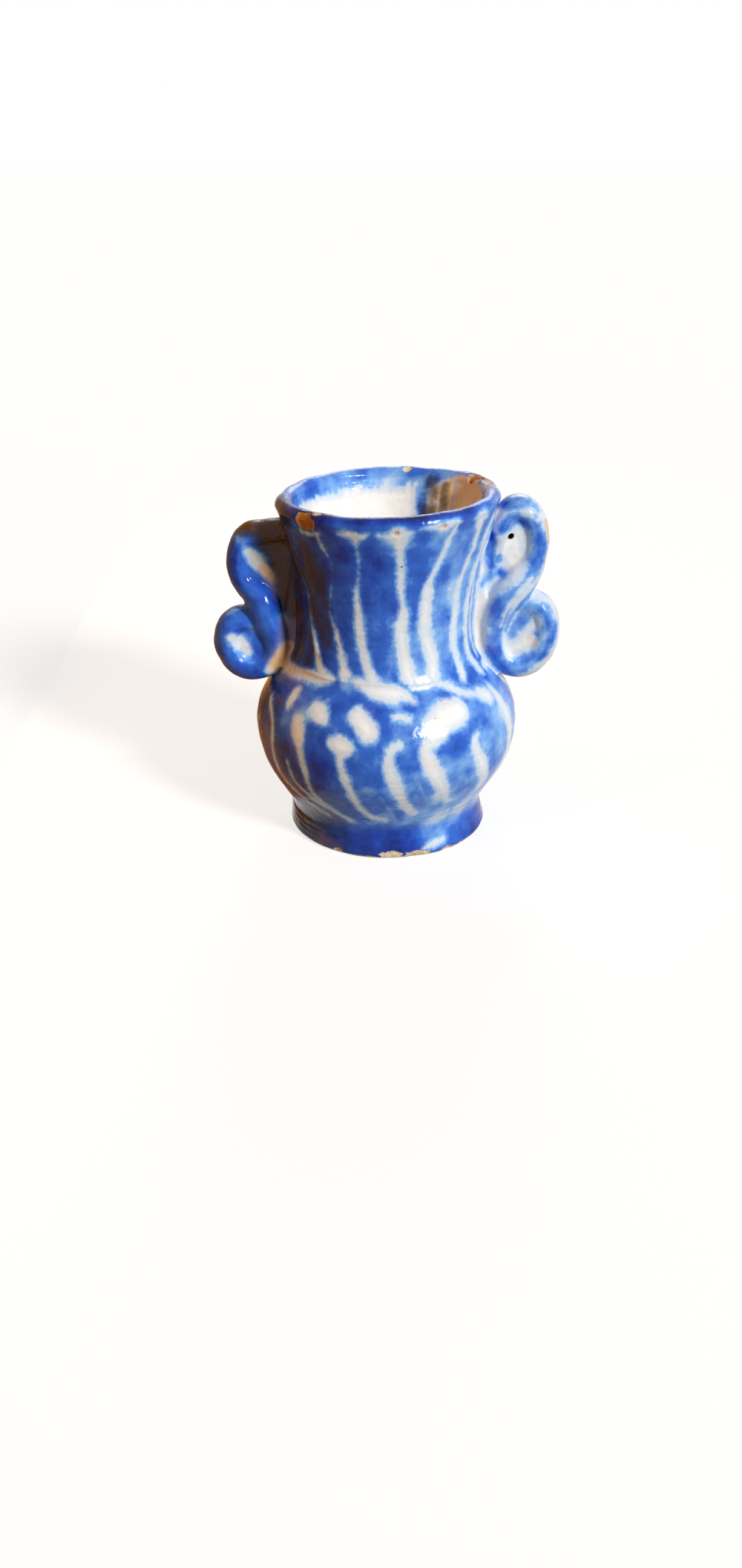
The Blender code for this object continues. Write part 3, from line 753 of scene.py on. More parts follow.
# Painted shade at the left of foot and bowl: darker cobalt, tan and near black, blended as the rest of
# their looks.
climb = eased((heights - MEETING_HEIGHT) / MEETING_REACH)
thin = washed(FOOT_WASHES, *wall) * (1 - climb) + washed(BELLY_WASHES, *wall) * climb
brown = along_strokes(FOOT_WARM_SHADE, *wall) * (1 - climb) + along_strokes(BELLY_WARM_SHADE, *wall) * climb
burnt = along_strokes(FOOT_DARK_SHADE, *wall) * (1 - climb) + along_strokes(BELLY_DARK_SHADE, *wall) * climb
heavier_foot = (FOOT_LOAD - BODY_LOAD) / THIN_WEIGHT * (1 - climb)
put_spots(heel_mesh, sagged(spots))
mark(heel_mesh, "paint", clear_of(gaps, *wall) + COLLAR_PAINT * eased(COLLAR_HEIGHT - heights))
mark(heel_mesh, "thin", thin - left_shade_load(angles) - heavier_foot)
mark(heel_mesh, "brown", brown)
mark(heel_mesh, "burnt", burnt)
mark(heel_mesh, "brush", slanted_brush(spots))
unbroken(heel_mesh)
shown("foot_bead", heel_mesh, body_glaze, ("foot_slip",))

# Slip at the neck: a bead of soft clay and glaze that was smoothed with a finger into the corner
# between shoulder and neck, so that the two run into each other without a crease.
NECK_WAIST_RADIUS = 15.4
NECK_WAIST_RISE = 7.8
NECK_FOOT = 31.77
RIM_RADIUS = 18.65
LIP_ROUND = 1.5
LIP_HEIGHT = 58.5
FILLET = 1.2
BEAD_BOTTOM = 29.75
BEAD_TOP = 31.95
BEAD_EDGE = 0.05
BEAD_TUCK = 0.5
BEAD_PROUD = 0.01


def neck_radius(height):
    """Outer radius of the neck: a short flare below the waist, and a long one above it."""
    waist = NECK_FOOT + NECK_WAIST_RISE
    if height < waist:
        share = min(1.0, (waist - height) / NECK_WAIST_RISE)
        return NECK_WAIST_RADIUS + (NECK_BASE_RADIUS - NECK_WAIST_RADIUS) * share**3
    share = min(1.0, (height - waist) / (LIP_HEIGHT - waist))
    return NECK_WAIST_RADIUS + (RIM_RADIUS - NECK_WAIST_RADIUS) * share**2


def shoulder_radius(height):
    """Outer radius of the shoulder above the widest circle."""
    above = (height - BELLY_EQUATOR) / BELLY_SHOULDER_RISE
    return BELLY_RADIUS * math.sqrt(max(0.0, 1 - above**2))


def filled_radius(height):
    """Radius of shoulder and neck with the corner between them filled."""
    shoulder_at, neck_at = shoulder_radius(height), neck_radius(height)
    lap = max(0.0, 1 - abs(shoulder_at - neck_at) / FILLET)
    return max(shoulder_at, neck_at) + FILLET * lap * lap / 4


bead_heights = evenly(BEAD_BOTTOM, BEAD_TOP, 22)
bead_outline = [(filled_radius(height) + BEAD_PROUD, height) for height in bead_heights]
bead_outline.insert(0, (bead_outline[0][0] - BEAD_TUCK, BEAD_BOTTOM - BEAD_EDGE))
bead_outline.append((bead_outline[-1][0] - BEAD_TUCK, BEAD_TOP + BEAD_EDGE))
bead_mesh = thrown("neck_bead", bead_outline)

# Gaps between the upright strokes of the neck, as rows of (degrees, height, width)
NECK_GAPS = (
    (
        (-66, 56, -0.8), (-64, 51, -0.9), (-55, 46, -0.6), (-52, 40.7, 0.3), (-47, 35.5, 1.0),
        (-44, 33.5, 1.3), (-40, 32.3, 1.6),
    ),
    (
        (-39, 56.7, 0.3), (-36, 54, -0.2), (-32, 51.3, -1.0), (-36, 43.6, -0.5), (-32, 40, 0.4),
        (-27, 34.9, 0.8), (-25, 33.0, 1.8),
    ),
    (
        (-17, 57.5, 0.3), (-16.5, 53.8, -0.5), (-16.5, 50.4, -0.4), (-18, 47.2, 0.2), (-17, 43.4, 1.1),
        (-15, 38.7, 1.2), (-12, 35.2, 1.3), (-8, 32.4, 1.7),
    ),
    (
        (4.5, 57.2, 2.6), (5.5, 55, 1.1), (6.5, 52.3, 0.6), (7.5, 48, 0.8), (9, 45.4, 0.5),
        (10, 43.3, 1.6), (9, 40.3, 1.9), (11, 36.4, 2.0), (13, 33, 2.4),
    ),
    (
        (35, 57.9, 0.4), (33, 55.9, 0.4), (29, 52.1, 0.5), (25, 49.3, 0.8), (24, 47, 1.7),
        (24, 42.9, 2.1), (25, 39.1, 1.8), (29, 35.8, 2.1), (28, 32.7, 2.2),
    ),
    (
        (53, 57.3, 1.7), (54, 53, 0.7), (48, 47.3, 0.7), (47, 41.3, 1.2), (46, 38, 1.1),
        (48, 34.3, 1.0), (49, 31.3, 1.5),
    ),
    (
        (68, 57, 0.8), (63, 49.4, 0.5), (60, 43.6, 0.7), (60, 37.7, 0.8), (61, 34.1, 1.0),
        (68, 30.7, 1.2),
    ),
    ((73, 56, 0.0), (68, 49, 0.1), (67, 43, 0.1), (68, 37, 0.2), (72, 33, 0.4)),
    ((72, 51.6, 0.8), (74, 46, 0.6), (76, 41.4, 0.7), (76, 35.3, 1.1), (81, 32.8, 1.2), (90, 30, 1.4)),
)
LIP_GAPS = (
    ((-50, 56.8, 0.0), (-44, 56.6, 0.2), (-37, 57.1, 0.1)),
    ((-26, 57.4, -0.2), (-20, 57.6, 0.7), (-15, 57.2, 0.4), (-11, 57.5, -0.2)),
    ((-5, 57.3, -0.2), (0, 57.0, 0.6), (6, 57.2, 1.2), (11, 57.8, 0.1)),
    ((15, 58.1, -0.2), (21, 58.3, 0.3), (28, 58.0, 0.9), (34, 58.4, 0.5), (38, 58.2, -0.2)),
    ((47, 58.2, -0.2), (52, 58.2, 1.0), (58, 57.8, 0.5)),
)
LIP_LOADED = ((0.55, 1.3, ((-50, 60.6, 0.8), (-20, 60.4, 1.0), (10, 60.4, 1.0), (50, 60.8, 0.6))),)
back_gaps = []
for at in range(98, 280, 19):
    start = at + draw.uniform(-4, 4)
    bend = draw.uniform(-6, 6)
    widths = [draw.uniform(0.4, 1.8) for _ in range(4)]
    back_gaps.append((
        (start, 57.2, widths[0]), (start + bend, 50, widths[1]), (start + bend, 42, widths[2]),
        (start, 36, widths[3]), (start + 3, 32, 1.8),
    ))
wall_gaps = NECK_GAPS + LIP_GAPS + tuple(back_gaps)


def brushed_wall(mesh, spots, wall):
    """Marks how thin the paint lies on neck and shoulder, and gives how far each spot is from a gap."""
    # Painted shade towards the left, together with the lip band's real extra cobalt.
    load_and_left_shade = left_shade_load(wall[0]) + along_strokes(LIP_LOADED, *wall)
    mark(mesh, "thin", washed(NECK_WASHES + BELLY_WASHES, *wall) - load_and_left_shade)
    mark(mesh, "brush", spots * (1.0, 1.0, HAIRS_ALONG))
    return clear_of(wall_gaps + BASE_BANDS + SHOULDER_PATCHES, *wall)


spots = spots_of(bead_mesh)
wall = on_wall(spots)
put_spots(bead_mesh, sagged(spots))
mark(bead_mesh, "paint", brushed_wall(bead_mesh, spots, wall))
# Painted warm shade on the shoulder's left.
mark(bead_mesh, "brown", along_strokes(BELLY_WARM_SHADE, *wall))
unbroken(bead_mesh)
shown("neck_bead", bead_mesh, body_glaze, ("neck_slip",))

# Neck: a waisted tube thrown apart from the bowl and set on its shoulder, with a thick rounded lip.
# Upright cobalt strokes cover its outside, and a band of cobalt runs over the lip and bleeds inside.
LIP_CENTRE = RIM_RADIUS - LIP_ROUND
NECK_RIDGES = (
    ((-66, 56, 0), (-64, 51, 0), (-55, 46, 0), (-52, 40.7, 0), (-47, 35.5, 0)),
    ((68, 57, 0), (63, 49.4, 0), (60, 43.6, 0), (60, 37.7, 0), (61, 34.1, 0)),
    ((77, 55, 0), (73, 49, 0), (76, 41.4, 0), (76, 35.3, 0)),
)
RIDGE_RISE = 0.3
RIDGE_WIDTH = 0.5
BAND_DEPTH = 1.6  # how far the blue of the lip runs down the inside
# The inside at the right carries painted warm shade, and the band runs shorter there.
BAND_SHORTER = 2.8  # how much less it runs at the right, where the inside is tan
BAND_SHORTER_AT = 119
BAND_SHORTER_SPREAD = 24
PAINT_MEETS = 2.0  # where the outer strokes end and the inner band starts, over the lip
PAINTED = 3.0


def bore_radius(height):
    """Inner radius of the neck, whose wall thickens towards the lip."""
    share = (height - NECK_FOOT) / (LIP_HEIGHT - NECK_FOOT)
    return neck_radius(height) - NECK_WALL - (2 * LIP_ROUND - NECK_WALL) * share**2


neck_heights = evenly(seam_height, LIP_HEIGHT, 128)
neck_outline = [(neck_radius(height), height) for height in neck_heights]
neck_outline += arc((LIP_CENTRE, LIP_HEIGHT), LIP_ROUND, 0, 180, 24)[1:-1]
neck_outline += [(bore_radius(height), height) for height in reversed(evenly(NECK_FOOT, LIP_HEIGHT, 70))]
neck_outline += [(mouth_radius, seam_height)]
neck_mesh = thrown("neck", neck_outline)
spots = spots_of(neck_mesh)
angles, heights, radii = on_wall(spots)
over_lip = LIP_HEIGHT + LIP_ROUND * np.arctan2(heights - LIP_HEIGHT, radii - LIP_CENTRE)
inside = radii < np.array([neck_radius(height) for height in heights]) - LIP_ROUND
lip_inside = LIP_HEIGHT + LIP_ROUND * math.pi
down_bore = lip_inside + LIP_HEIGHT - heights
climbs = np.where(heights > LIP_HEIGHT, over_lip, np.where(inside, down_bore, heights))
wall = (angles, climbs, radii)
ridge = np.exp(-((np.maximum(clear_of(NECK_RIDGES, *wall), 0) / RIDGE_WIDTH) ** 2))
swell = 1 + RIDGE_RISE * ridge / radii
put_spots(neck_mesh, sagged(spots * np.column_stack((swell, swell, np.ones(len(spots))))))

LIP_CHIPS = (
    (-46, 58.6, 4.2, 3.0, 0.5), (-40, 60.6, 1.6, 1.4, 0.3), (27, 58.0, 1.4, 1.0, 0.25),
    (3, 57.6, 1.0, 0.8, 0.2), (167, 61.6, 1.8, 1.8, 0.4), (118, 61.4, 3.0, 2.4, 0.5),
    (104, 60.8, 4.5, 1.4, 0.35), (-170, 60.2, 1.4, 1.2, 0.25),
)
LIP_STAINS = ((-46, 58.6, 3.0, 1.0), (116, 62.0, 3.0, 0.9), (104, 60.8, 2.0, 0.3))
NECK_PINHOLE = (((6.8, 51.8, 0.05), (7.4, 51.9, 0.05)),)
PINHOLE_SHADE_DARK = 0.8
PIN_EDGE = 3


def below_lip(stroke):
    """A stroke down the inside, whose heights are given as mm below the lip."""
    return tuple((angle, lip_inside + depth, width) for angle, depth, width in stroke)


INSIDE_STROKES = (
    below_lip(((155, 0, 3.2), (154.5, 4, 2.6), (153, 9, 1.2), (152, 16, -0.6))),
    below_lip(((132, 0, 1.0), (130, 5, 0.4), (129, 10, -0.6))),
)
# Painted shade on the inside wall at the right, which faces away from the key light: tan with dark
# streaks.
INSIDE_WARM_SHADE = (
    (0.72, 3.0, below_lip(((88, 0, 3.0), (106, 2, 6.0), (124, 2, 5.0)))),
    (0.60, 3.0, below_lip(((96, 6, 2.0), (110, 8, 2.0), (126, 10, -1.0)))),
    (0.60, 2.0, below_lip(((130, 1, 2.0), (140, 4, 3.0), (142, 9, 1.0), (142, 16, -3.0)))),
)
INSIDE_DARK_SHADE = (
    (0.55, 1.5, below_lip(((150, 0.5, 0.8), (149, 4, 1.2), (147, 9, 0.2), (146, 16, -2.4)))),
    (0.55, 0.9, below_lip(((139, 1, 0.3), (138, 5, 0.6), (137, 9, -0.2), (136, 15, -1.6)))),
)
# Painted shade on the neck's left, the side away from the key light: near black, brown where deepest.
NECK_DARK_SHADE = (
    (0.75, 2.4, ((-88, 57, 2), (-80, 50, 2.4), (-75, 44, 2.4), (-71, 38, 2), (-68, 34, 1))),
    (0.58, 3.2, ((-74, 57.5, 5), (-66, 51, 6), (-62, 45, 6), (-66, 39, 4), (-66, 35.6, 2))),
    (0.50, 1.6, ((-46, 52, 1), (-44, 46, 1.6), (-41, 41, 1.4), (-39, 37.6, 0.4))),
)
shorter_band = BAND_SHORTER * np.exp(-((turn_between(angles, BAND_SHORTER_AT) / BAND_SHORTER_SPREAD) ** 2))
bled = 0.5 * grain(spots, 3.0) + 0.6 * grain(spots * (1, 1, 0.3), 0.8)
band_edge = lip_inside + BAND_DEPTH - shorter_band - climbs + bled
inner_paint = np.minimum(np.maximum(band_edge, -clear_of(INSIDE_STROKES, *wall)), PAINTED)
outer_paint = brushed_wall(neck_mesh, spots, wall)
mark(neck_mesh, "paint", np.where(climbs > lip_inside - PAINT_MEETS, inner_paint, outer_paint))
mark(neck_mesh, "chip", chipped(neck_mesh, LIP_CHIPS, *wall))
# Painted shade: the neck's pinhole is painted black.
mark(neck_mesh, "hole", np.clip(PINHOLE_SHADE_DARK - PIN_EDGE * clear_of(NECK_PINHOLE, *wall), 0, 1))
mark(neck_mesh, "stain", washed(LIP_STAINS, *wall))
# Painted shade: tan and dark streaks inside at the right, tan and near black on the left outside.
mark(neck_mesh, "brown", along_strokes(INSIDE_WARM_SHADE + BELLY_WARM_SHADE, *wall))
mark(neck_mesh, "burnt", along_strokes(INSIDE_DARK_SHADE + NECK_DARK_SHADE, *wall))
shown("neck", neck_mesh, body_glaze, ("neck",))

# Handles: each is one rolled coil of clay curled into an S, with an upper eye that a web of slip
# closes, a diagonal and a lower eye wound shut, pressed on neck and shoulder and luted with slip.
UPPER_COIL = 4.4
DIAGONAL = 6.8
LOWER_COIL = 5.2
COIL_TIP = 3.0
COIL_DEPTH_RATIO = 1.4
STATIONS_PER_TURN = 72
COIL_SIDES = 28
VOXEL = 0.17
LEFT_WEB_DEPTH = 4.6
RIGHT_WEB_DEPTH = 3.6
EYE_DEPTH = 5.0
ROOT_DEPTH = 5.6
WALL_TUCK = 0.30  # how far the luted pad under a handle lies below the wall's face
PAD_DEPTH = 1.6
PAD_BOTTOM = 26.5
PAD_TOP = 55.5
PAD_SPREAD = 15
SOFTEN_PASSES = 36
SOFTEN_SHARE = 0.5
COIL_LUMPS = ((0.12, 3.5), (0.06, 1.3))  # (rise, size)
# The rounding of a coil's ends: (how far ahead, size), both as shares of half the coil's thickness
TIP_ROUND = ((0.0, 1.0), (0.35, 0.92), (0.65, 0.7), (0.85, 0.35))


def round_eye(centre, reach, rise, start, end, wind=1.0):
    """Points (outward, up) round an eye. The last half turn winds in to a part of its size."""
    points = []
    for angle in evenly(start, end, max(8, round(abs(end - start) / 360 * STATIONS_PER_TURN))):
        size = 1 + (wind - 1) * float(eased(1 - (end - angle) / 180)) if wind < 1 else 1.0
        turn = math.radians(angle)
        points.append(Vector(centre) + Vector((reach * math.cos(turn), rise * math.sin(turn))) * size)
    return points


def diagonal(before, start, end, after, steps=16):
    """Points between the two eyes, on a curve that leaves and meets them without a kink."""
    pull = (end - start).length / 3
    leave = start + (start - before).normalized() * pull
    meet = end + (end - after).normalized() * pull
    points = []
    for far in evenly(0, 1, steps + 1)[1:-1]:
        near = 1 - far
        points.append(
            start * near**3 + leave * 3 * near**2 * far + meet * 3 * near * far**2 + end * far**3
        )
    return points


class Scroll:
    """The line that a handle's coil follows, in mm outward and up, and its thickness along it."""

    def __init__(self, side, upper, lower, root, first):
        self.side = side
        self.lower_eye = lower[:3]
        self.upper = [Vector(point) for point in root] + round_eye(*upper)
        lower_line = round_eye(*lower)
        self.middle = diagonal(self.upper[-2], self.upper[-1], lower_line[0], lower_line[1])
        self.line = self.upper + self.middle + lower_line
        first_lower = len(self.upper) + len(self.middle)
        last = len(self.line) - 1
        outermost = max(range(first_lower, last), key=lambda at: self.line[at].x)
        self.marks = (
            (0, first), (8, UPPER_COIL), (len(self.upper) - 8, UPPER_COIL),
            (len(self.upper) + len(self.middle) // 2, DIAGONAL), (first_lower + 18, LOWER_COIL),
            (outermost, LOWER_COIL), (last, COIL_TIP),
        )

    def half(self, station):
        """Half the coil's thickness, eased between the marks along it."""
        stations, widths = zip(*self.marks)
        at = max(k for k in range(len(stations) - 1) if station >= stations[k])
        share = float(eased((station - stations[at]) / (stations[at + 1] - stations[at])))
        return (widths[at] + (widths[at + 1] - widths[at]) * share) / 2


def add_coil(shape, scroll):
    """Lofts the coil through its cross-sections, with rounded tips."""
    line, last = scroll.line, len(scroll.line) - 1
    rings = []
    for station, centre in enumerate(line):
        along = (line[min(last, station + 1)] - line[max(0, station - 1)]).normalized()
        half = scroll.half(station)
        sections = TIP_ROUND[:1]
        if station == 0:
            sections = [(-ahead, size) for ahead, size in reversed(TIP_ROUND)]
        if station == last:
            sections = TIP_ROUND
        for ahead, size in sections:
            middle = centre + along * half * ahead
            across = Vector((along.y, -along.x)) * half * size
            placed = MM * Matrix((
                (scroll.side * across.x, 0.0, scroll.side * along.x, scroll.side * middle.x),
                (0.0, half * size * COIL_DEPTH_RATIO, 0.0, 0.0),
                (across.y, 0.0, along.y, middle.y),
                (0.0, 0.0, 0.0, 1.0),
            ))
            placed[3][3] = 1.0
            made = bmesh.ops.create_circle(shape, segments=COIL_SIDES, radius=1.0, matrix=placed)
            rings.append(list({edge for corner in made["verts"] for edge in corner.link_edges}))
    for first, second in zip(rings, rings[1:]):
        bmesh.ops.bridge_loops(shape, edges=first + second)
    bmesh.ops.holes_fill(shape, edges=rings[0] + rings[-1], sides=COIL_SIDES)


def add_plate(shape, outline, depth):
    """A plate with that outline, in mm, standing in the handles' plane."""
    corners = [shape.verts.new((x * MM, -depth / 2 * MM, z * MM)) for x, z in outline]
    face = shape.faces.new(corners)
    grown = bmesh.ops.extrude_face_region(shape, geom=[face])["geom"]
    back = [part for part in grown if isinstance(part, bmesh.types.BMVert)]
    bmesh.ops.translate(shape, verts=back, vec=(0, depth * MM, 0))


def add_pad(shape, side):
    """The luted pad under a handle: a patch just below the face of the wall, that fillets grow from."""
    levels = evenly(PAD_BOTTOM, PAD_TOP, 40)
    outline = [(filled_radius(level) - WALL_TUCK, level) for level in levels]
    outline += [(filled_radius(level) - PAD_DEPTH, level) for level in reversed(levels)]
    turn = Matrix.Rotation(math.radians(90 * side - PAD_SPREAD), 3, "Z")
    corners = [shape.verts.new(turn @ Vector((0.0, -radius, level))) for radius, level in outline]
    face = shape.faces.new(corners)
    bmesh.ops.spin(
        shape, geom=[face] + list(face.edges) + corners, cent=(0, 0, 0), axis=(0, 0, 1),
        angle=math.radians(2 * PAD_SPREAD), steps=24,
    )


def handle_mesh(name, scroll, web_outline, web_depth, root_outline):
    """Coil, web, root and luted pad run together, as the glaze leaves them."""
    shape = bmesh.new()
    add_pad(shape, scroll.side)
    bedded = sagged(np.array([tuple(corner.co) for corner in shape.verts]))
    for corner, spot in zip(shape.verts, bedded):
        corner.co = Vector(spot) * MM
    add_coil(shape, scroll)
    add_plate(shape, [(scroll.side * out, up) for out, up in web_outline], web_depth)
    add_plate(shape, [(scroll.side * out, up) for out, up in root_outline], ROOT_DEPTH)
    eye = round_eye(*scroll.lower_eye, 0, 345)
    add_plate(shape, [(scroll.side * point.x, point.y) for point in eye], EYE_DEPTH)
    bmesh.ops.recalc_face_normals(shape, faces=shape.faces)
    rough = bpy.data.objects.new(name, finished_mesh(name, shape))
    bpy.context.scene.collection.objects.link(rough)
    remesh = rough.modifiers.new("run_together", "REMESH")
    remesh.mode = "VOXEL"
    remesh.voxel_size = VOXEL * MM
    soften = rough.modifiers.new("soften", "SMOOTH")
    soften.factor = SOFTEN_SHARE
    soften.iterations = SOFTEN_PASSES
    mesh = applied(rough)
    mesh.name = name
    mesh.shade_smooth()
    spots = spots_of(mesh)
    lumps = sum(rise * grain(spots, size) for rise, size in COIL_LUMPS)
    put_spots(mesh, spots + normals_of(mesh) * lumps[:, None])
    return mesh


def along_coil(mesh, scroll):
    """For each vertex: mm along the coil, and mm across it from its line."""
    spots = spots_of(mesh)
    out, up = spots[:, 0] * scroll.side, spots[:, 2]
    nearest = np.full(out.shape, FAR)
    run = np.zeros(out.shape)
    offset = np.zeros(out.shape)
    travelled = 0.0
    for start, end in zip(scroll.line, scroll.line[1:]):
        step = end - start
        share = np.clip(((out - start.x) * step.x + (up - start.y) * step.y) / step.length_squared, 0, 1)
        dx, dy = out - start.x - share * step.x, up - start.y - share * step.y
        away = np.hypot(dx, dy)
        closer = away < nearest
        nearest = np.where(closer, away, nearest)
        run = np.where(closer, travelled + share * step.length, run)
        left = np.sign(step.x * dy - step.y * dx)
        offset = np.where(closer, left * away, offset)
        travelled += step.length
    return run, offset


def on_flat(spots, side):
    """Places on the flat of a handle, as clear_of and washed take them: mm out for degrees, and mm up."""
    return spots[:, 0] * side, spots[:, 2], np.full(len(spots), math.degrees(1))


def finish_handle(name, mesh, scroll, paint, washes, warm_shades, dark_shades, chips, nodes):
    """Marks what the glaze reads on a handle, and shows it."""
    spots = spots_of(mesh)
    flat = on_flat(spots, scroll.side)
    run, offset = along_coil(mesh, scroll)
    mark(mesh, "paint", paint)
    mark(mesh, "thin", washed(washes, *flat))
    ragged = 0.3 * grain(spots, 1.1) + 0.15 * grain(spots, 0.4)
    narrowed = CHIP_FADE * np.maximum(spots[:, 1] - CHIP_BACK, 0)
    mark(mesh, "chip", ragged - clear_of(chips, *flat) - narrowed)
    mark(mesh, "stain", np.zeros(len(spots)))
    # Painted shade, laid along strokes: tan, near black and brown.
    mark(mesh, "brown", along_strokes(warm_shades, *flat))
    mark(mesh, "burnt", along_strokes(dark_shades, *flat))
    mark(mesh, "brush", np.column_stack((offset, spots[:, 1], run * HAIRS_ALONG)))
    shown(name, mesh, handle_glaze, nodes)


# White left on the left handle, and blue strokes on the right one. Their places are mm out and mm up.
LEFT_WHITES = (
    ((22.9, 50.2, 1.0), (21.8, 48.8, 1.9), (20.2, 46.9, 1.5), (18.6, 45.3, 0.8)),
    ((26.0, 35.2, 1.4), (24.8, 34.1, 2.0), (23.5, 32.5, 1.2)),
    ((16.7, 33.3, 2.0), (19.0, 29.2, 2.6)),
)
# The wash at (24.2, 52.8), on the top left of the arch, is a painted highlight; the others are thin
# paint.
LEFT_WASHES_AND_HIGHLIGHT = (
    (25.3, 39.4, 2.2, 0.4), (24.2, 52.8, 1.4, 0.8), (17.7, 38.7, 1.6, 0.45), (24.8, 34.1, 2.0, 0.5),
    (22.0, 36.8, 1.4, 0.4),
)
# Painted shade on the left handle: brown and near black on the arch top, shaded by the rim, and down
# beside the neck.
LEFT_DARK_SHADE = (
    (1.0, 1.9, ((24.0, 54.6, 0.4), (21.6, 55.2, 1.4), (18.8, 54.2, 2.6), (17.6, 51.0, 2.4))),
    (0.85, 1.6, ((17.6, 51.0, 1.6), (17.4, 48.2, 1.0), (16.8, 44.8, 0.8), (16.0, 40.5, 0.8))),
)
# Painted warm shade: tan on the left handle's web and at its foot, in the shade of the neck.
LEFT_WARM_SHADE = (
    (0.6, 1.2, ((20.2, 47.0, 0.4), (18.8, 45.2, 1.0), (17.6, 43.0, 0.6))),
    (0.75, 1.6, ((16.2, 38.0, 0.6), (16.6, 34.6, 1.0), (18.4, 30.6, 1.4))),
)
RIGHT_BLUES = (
    (
        (19.5, 54.2, 1.4), (21.2, 55.7, 1.9), (23.3, 55.4, 2.0), (25.1, 53.7, 2.0), (25.7, 51.4, 2.2),
        (25.2, 48.9, 2.2), (24.5, 46.6, 1.8), (22.9, 44.8, 1.2),
    ),
    ((19.9, 57.9, 1.2), (22.4, 58.1, 1.4), (24.4, 57.1, 1.0)),
    ((16.7, 44.8, 1.0), (18.1, 46.1, 1.3), (19.8, 46.3, 0.9)),
    ((17.5, 52.8, 1.2), (17.4, 50.3, 1.4), (17.9, 47.5, 1.2)),
    ((22.4, 44.2, 1.2), (20.5, 42.9, 1.8), (18.5, 40.3, 2.0), (18.2, 38.1, 1.4)),
    (
        (20.6, 41.6, 1.0), (19.6, 39.6, 1.5), (18.6, 35.4, 2.0), (19.1, 31.4, 2.2), (21.1, 29.6, 2.0),
        (23.6, 30.0, 1.8),
    ),
    ((21.1, 29.6, 2.0), (24.4, 30.9, 2.0), (27.1, 33.2, 1.8), (28.6, 36.5, 1.4), (28.7, 39.2, 0.9)),
    ((25.6, 44.2, 0.2), (23.6, 41.9, 0.5), (21.6, 39.4, 0.5), (20.6, 36.4, 0.2)),
    (
        (21.7, 35.6, 1.2), (23.2, 38.3, 2.2), (24.8, 40.3, 2.3), (27.1, 40.1, 2.1), (27.7, 37.6, 1.8),
        (26.3, 35.6, 1.2),
    ),
)
RIGHT_WASHES = (
    (22.0, 58.2, 2.4, 0.6), (17.5, 50.3, 3.0, 0.6), (19.5, 41.0, 2.6, 0.3), (18.8, 34.0, 2.4, 0.35),
    (22.0, 31.5, 1.6, 0.4), (27.8, 36.5, 2.6, 0.55), (23.0, 42.0, 60.0, 0.42),
)
# Painted shade: tan in the right handle's recesses and in its corner against the neck.
RIGHT_WARM_SHADE = (
    (0.36, 1.8, ((16.6, 41.0, 1.0), (16.8, 37.0, 1.4), (17.2, 34.0, 1.0))),
    (0.32, 1.4, ((21.8, 49.0, 0.6), (21.2, 47.0, 0.6))),
    (0.32, 1.4, ((24.4, 34.6, 0.6), (25.2, 33.6, 0.6))),
)
RIGHT_WHITES = (
    ((21.9, 53.0, 1.6), (22.2, 50.0, 2.2), (21.4, 47.0, 1.4)),
    ((24.6, 33.9, 1.8), (25.0, 34.4, 2.2)),
    ((26.0, 42.6, 0.8), (28.2, 41.4, 1.2), (29.6, 38.6, 0.8)),
    ((16.5, 42.0, 1.0), (16.4, 36.0, 1.6)),
    ((24.6, 46.0, 0.0), (22.4, 43.4, 0.3), (20.4, 40.6, 0.2), (19.6, 37.6, 0.0)),
    ((22.8, 57.0, 0.5), (24.2, 56.6, 0.8), (25.2, 55.6, 0.5)),
)
PAINT_BLEED = 0.95  # how sharp the watery blue of the right handle ends
STRAY_WASH = 3.2
STRAY_GAP = 1.75  # how much of the stray wash is left out
PINHOLE = (20.8, 52.6)
PINHOLE_RADIUS = 0.5
PINHOLE_DEPTH = 1.3
CHIP_BACK = -0.8  # the chip narrows from here to the back
CHIP_FADE = 0.5
RIGHT_CHIP = (((26.4, 55.2, 0.6), (27.0, 53.3, 0.9), (27.3, 51.2, 0.5)),)

HANDLE_LOAD = 0.58
HANDLE_STREAK = 0.20
handle_glaze = tin_glaze("handle_glaze", HANDLE_LOAD, HANDLE_STREAK)
left = Scroll(
    -1, ((21.45, 47.9), 3.2, 4.8, 95.0, -68.0), ((22.75, 34.1), 4.15, 4.85, 150.0, 550.0, 0.16),
    ((16.8, 53.2), (18.4, 53.0), (19.9, 52.8)), UPPER_COIL,
)
left_web = [tuple(point) for point in left.upper + left.middle]
left_web += [(19.2, 36.0), (19.4, 31.0), (16.0, 30.0), (14.6, 40.0), (15.0, 47.0), (15.8, 53.0)]
left_root = [(14.0, 29.6), (19.4, 29.6), (18.0, 34.0), (17.0, 40.0), (15.4, 48.0), (14.0, 48.0)]
left_mesh = handle_mesh("left_handle", left, left_web, LEFT_WEB_DEPTH, left_root)
left_paint = clear_of(LEFT_WHITES, *on_flat(spots_of(left_mesh), -1))
left_nodes = ("left_handle", "left_web", "left_upper_slip", "left_lower_slip")
finish_handle(
    "left_handle", left_mesh, left, left_paint, LEFT_WASHES_AND_HIGHLIGHT, LEFT_WARM_SHADE, LEFT_DARK_SHADE, (), left_nodes,
)

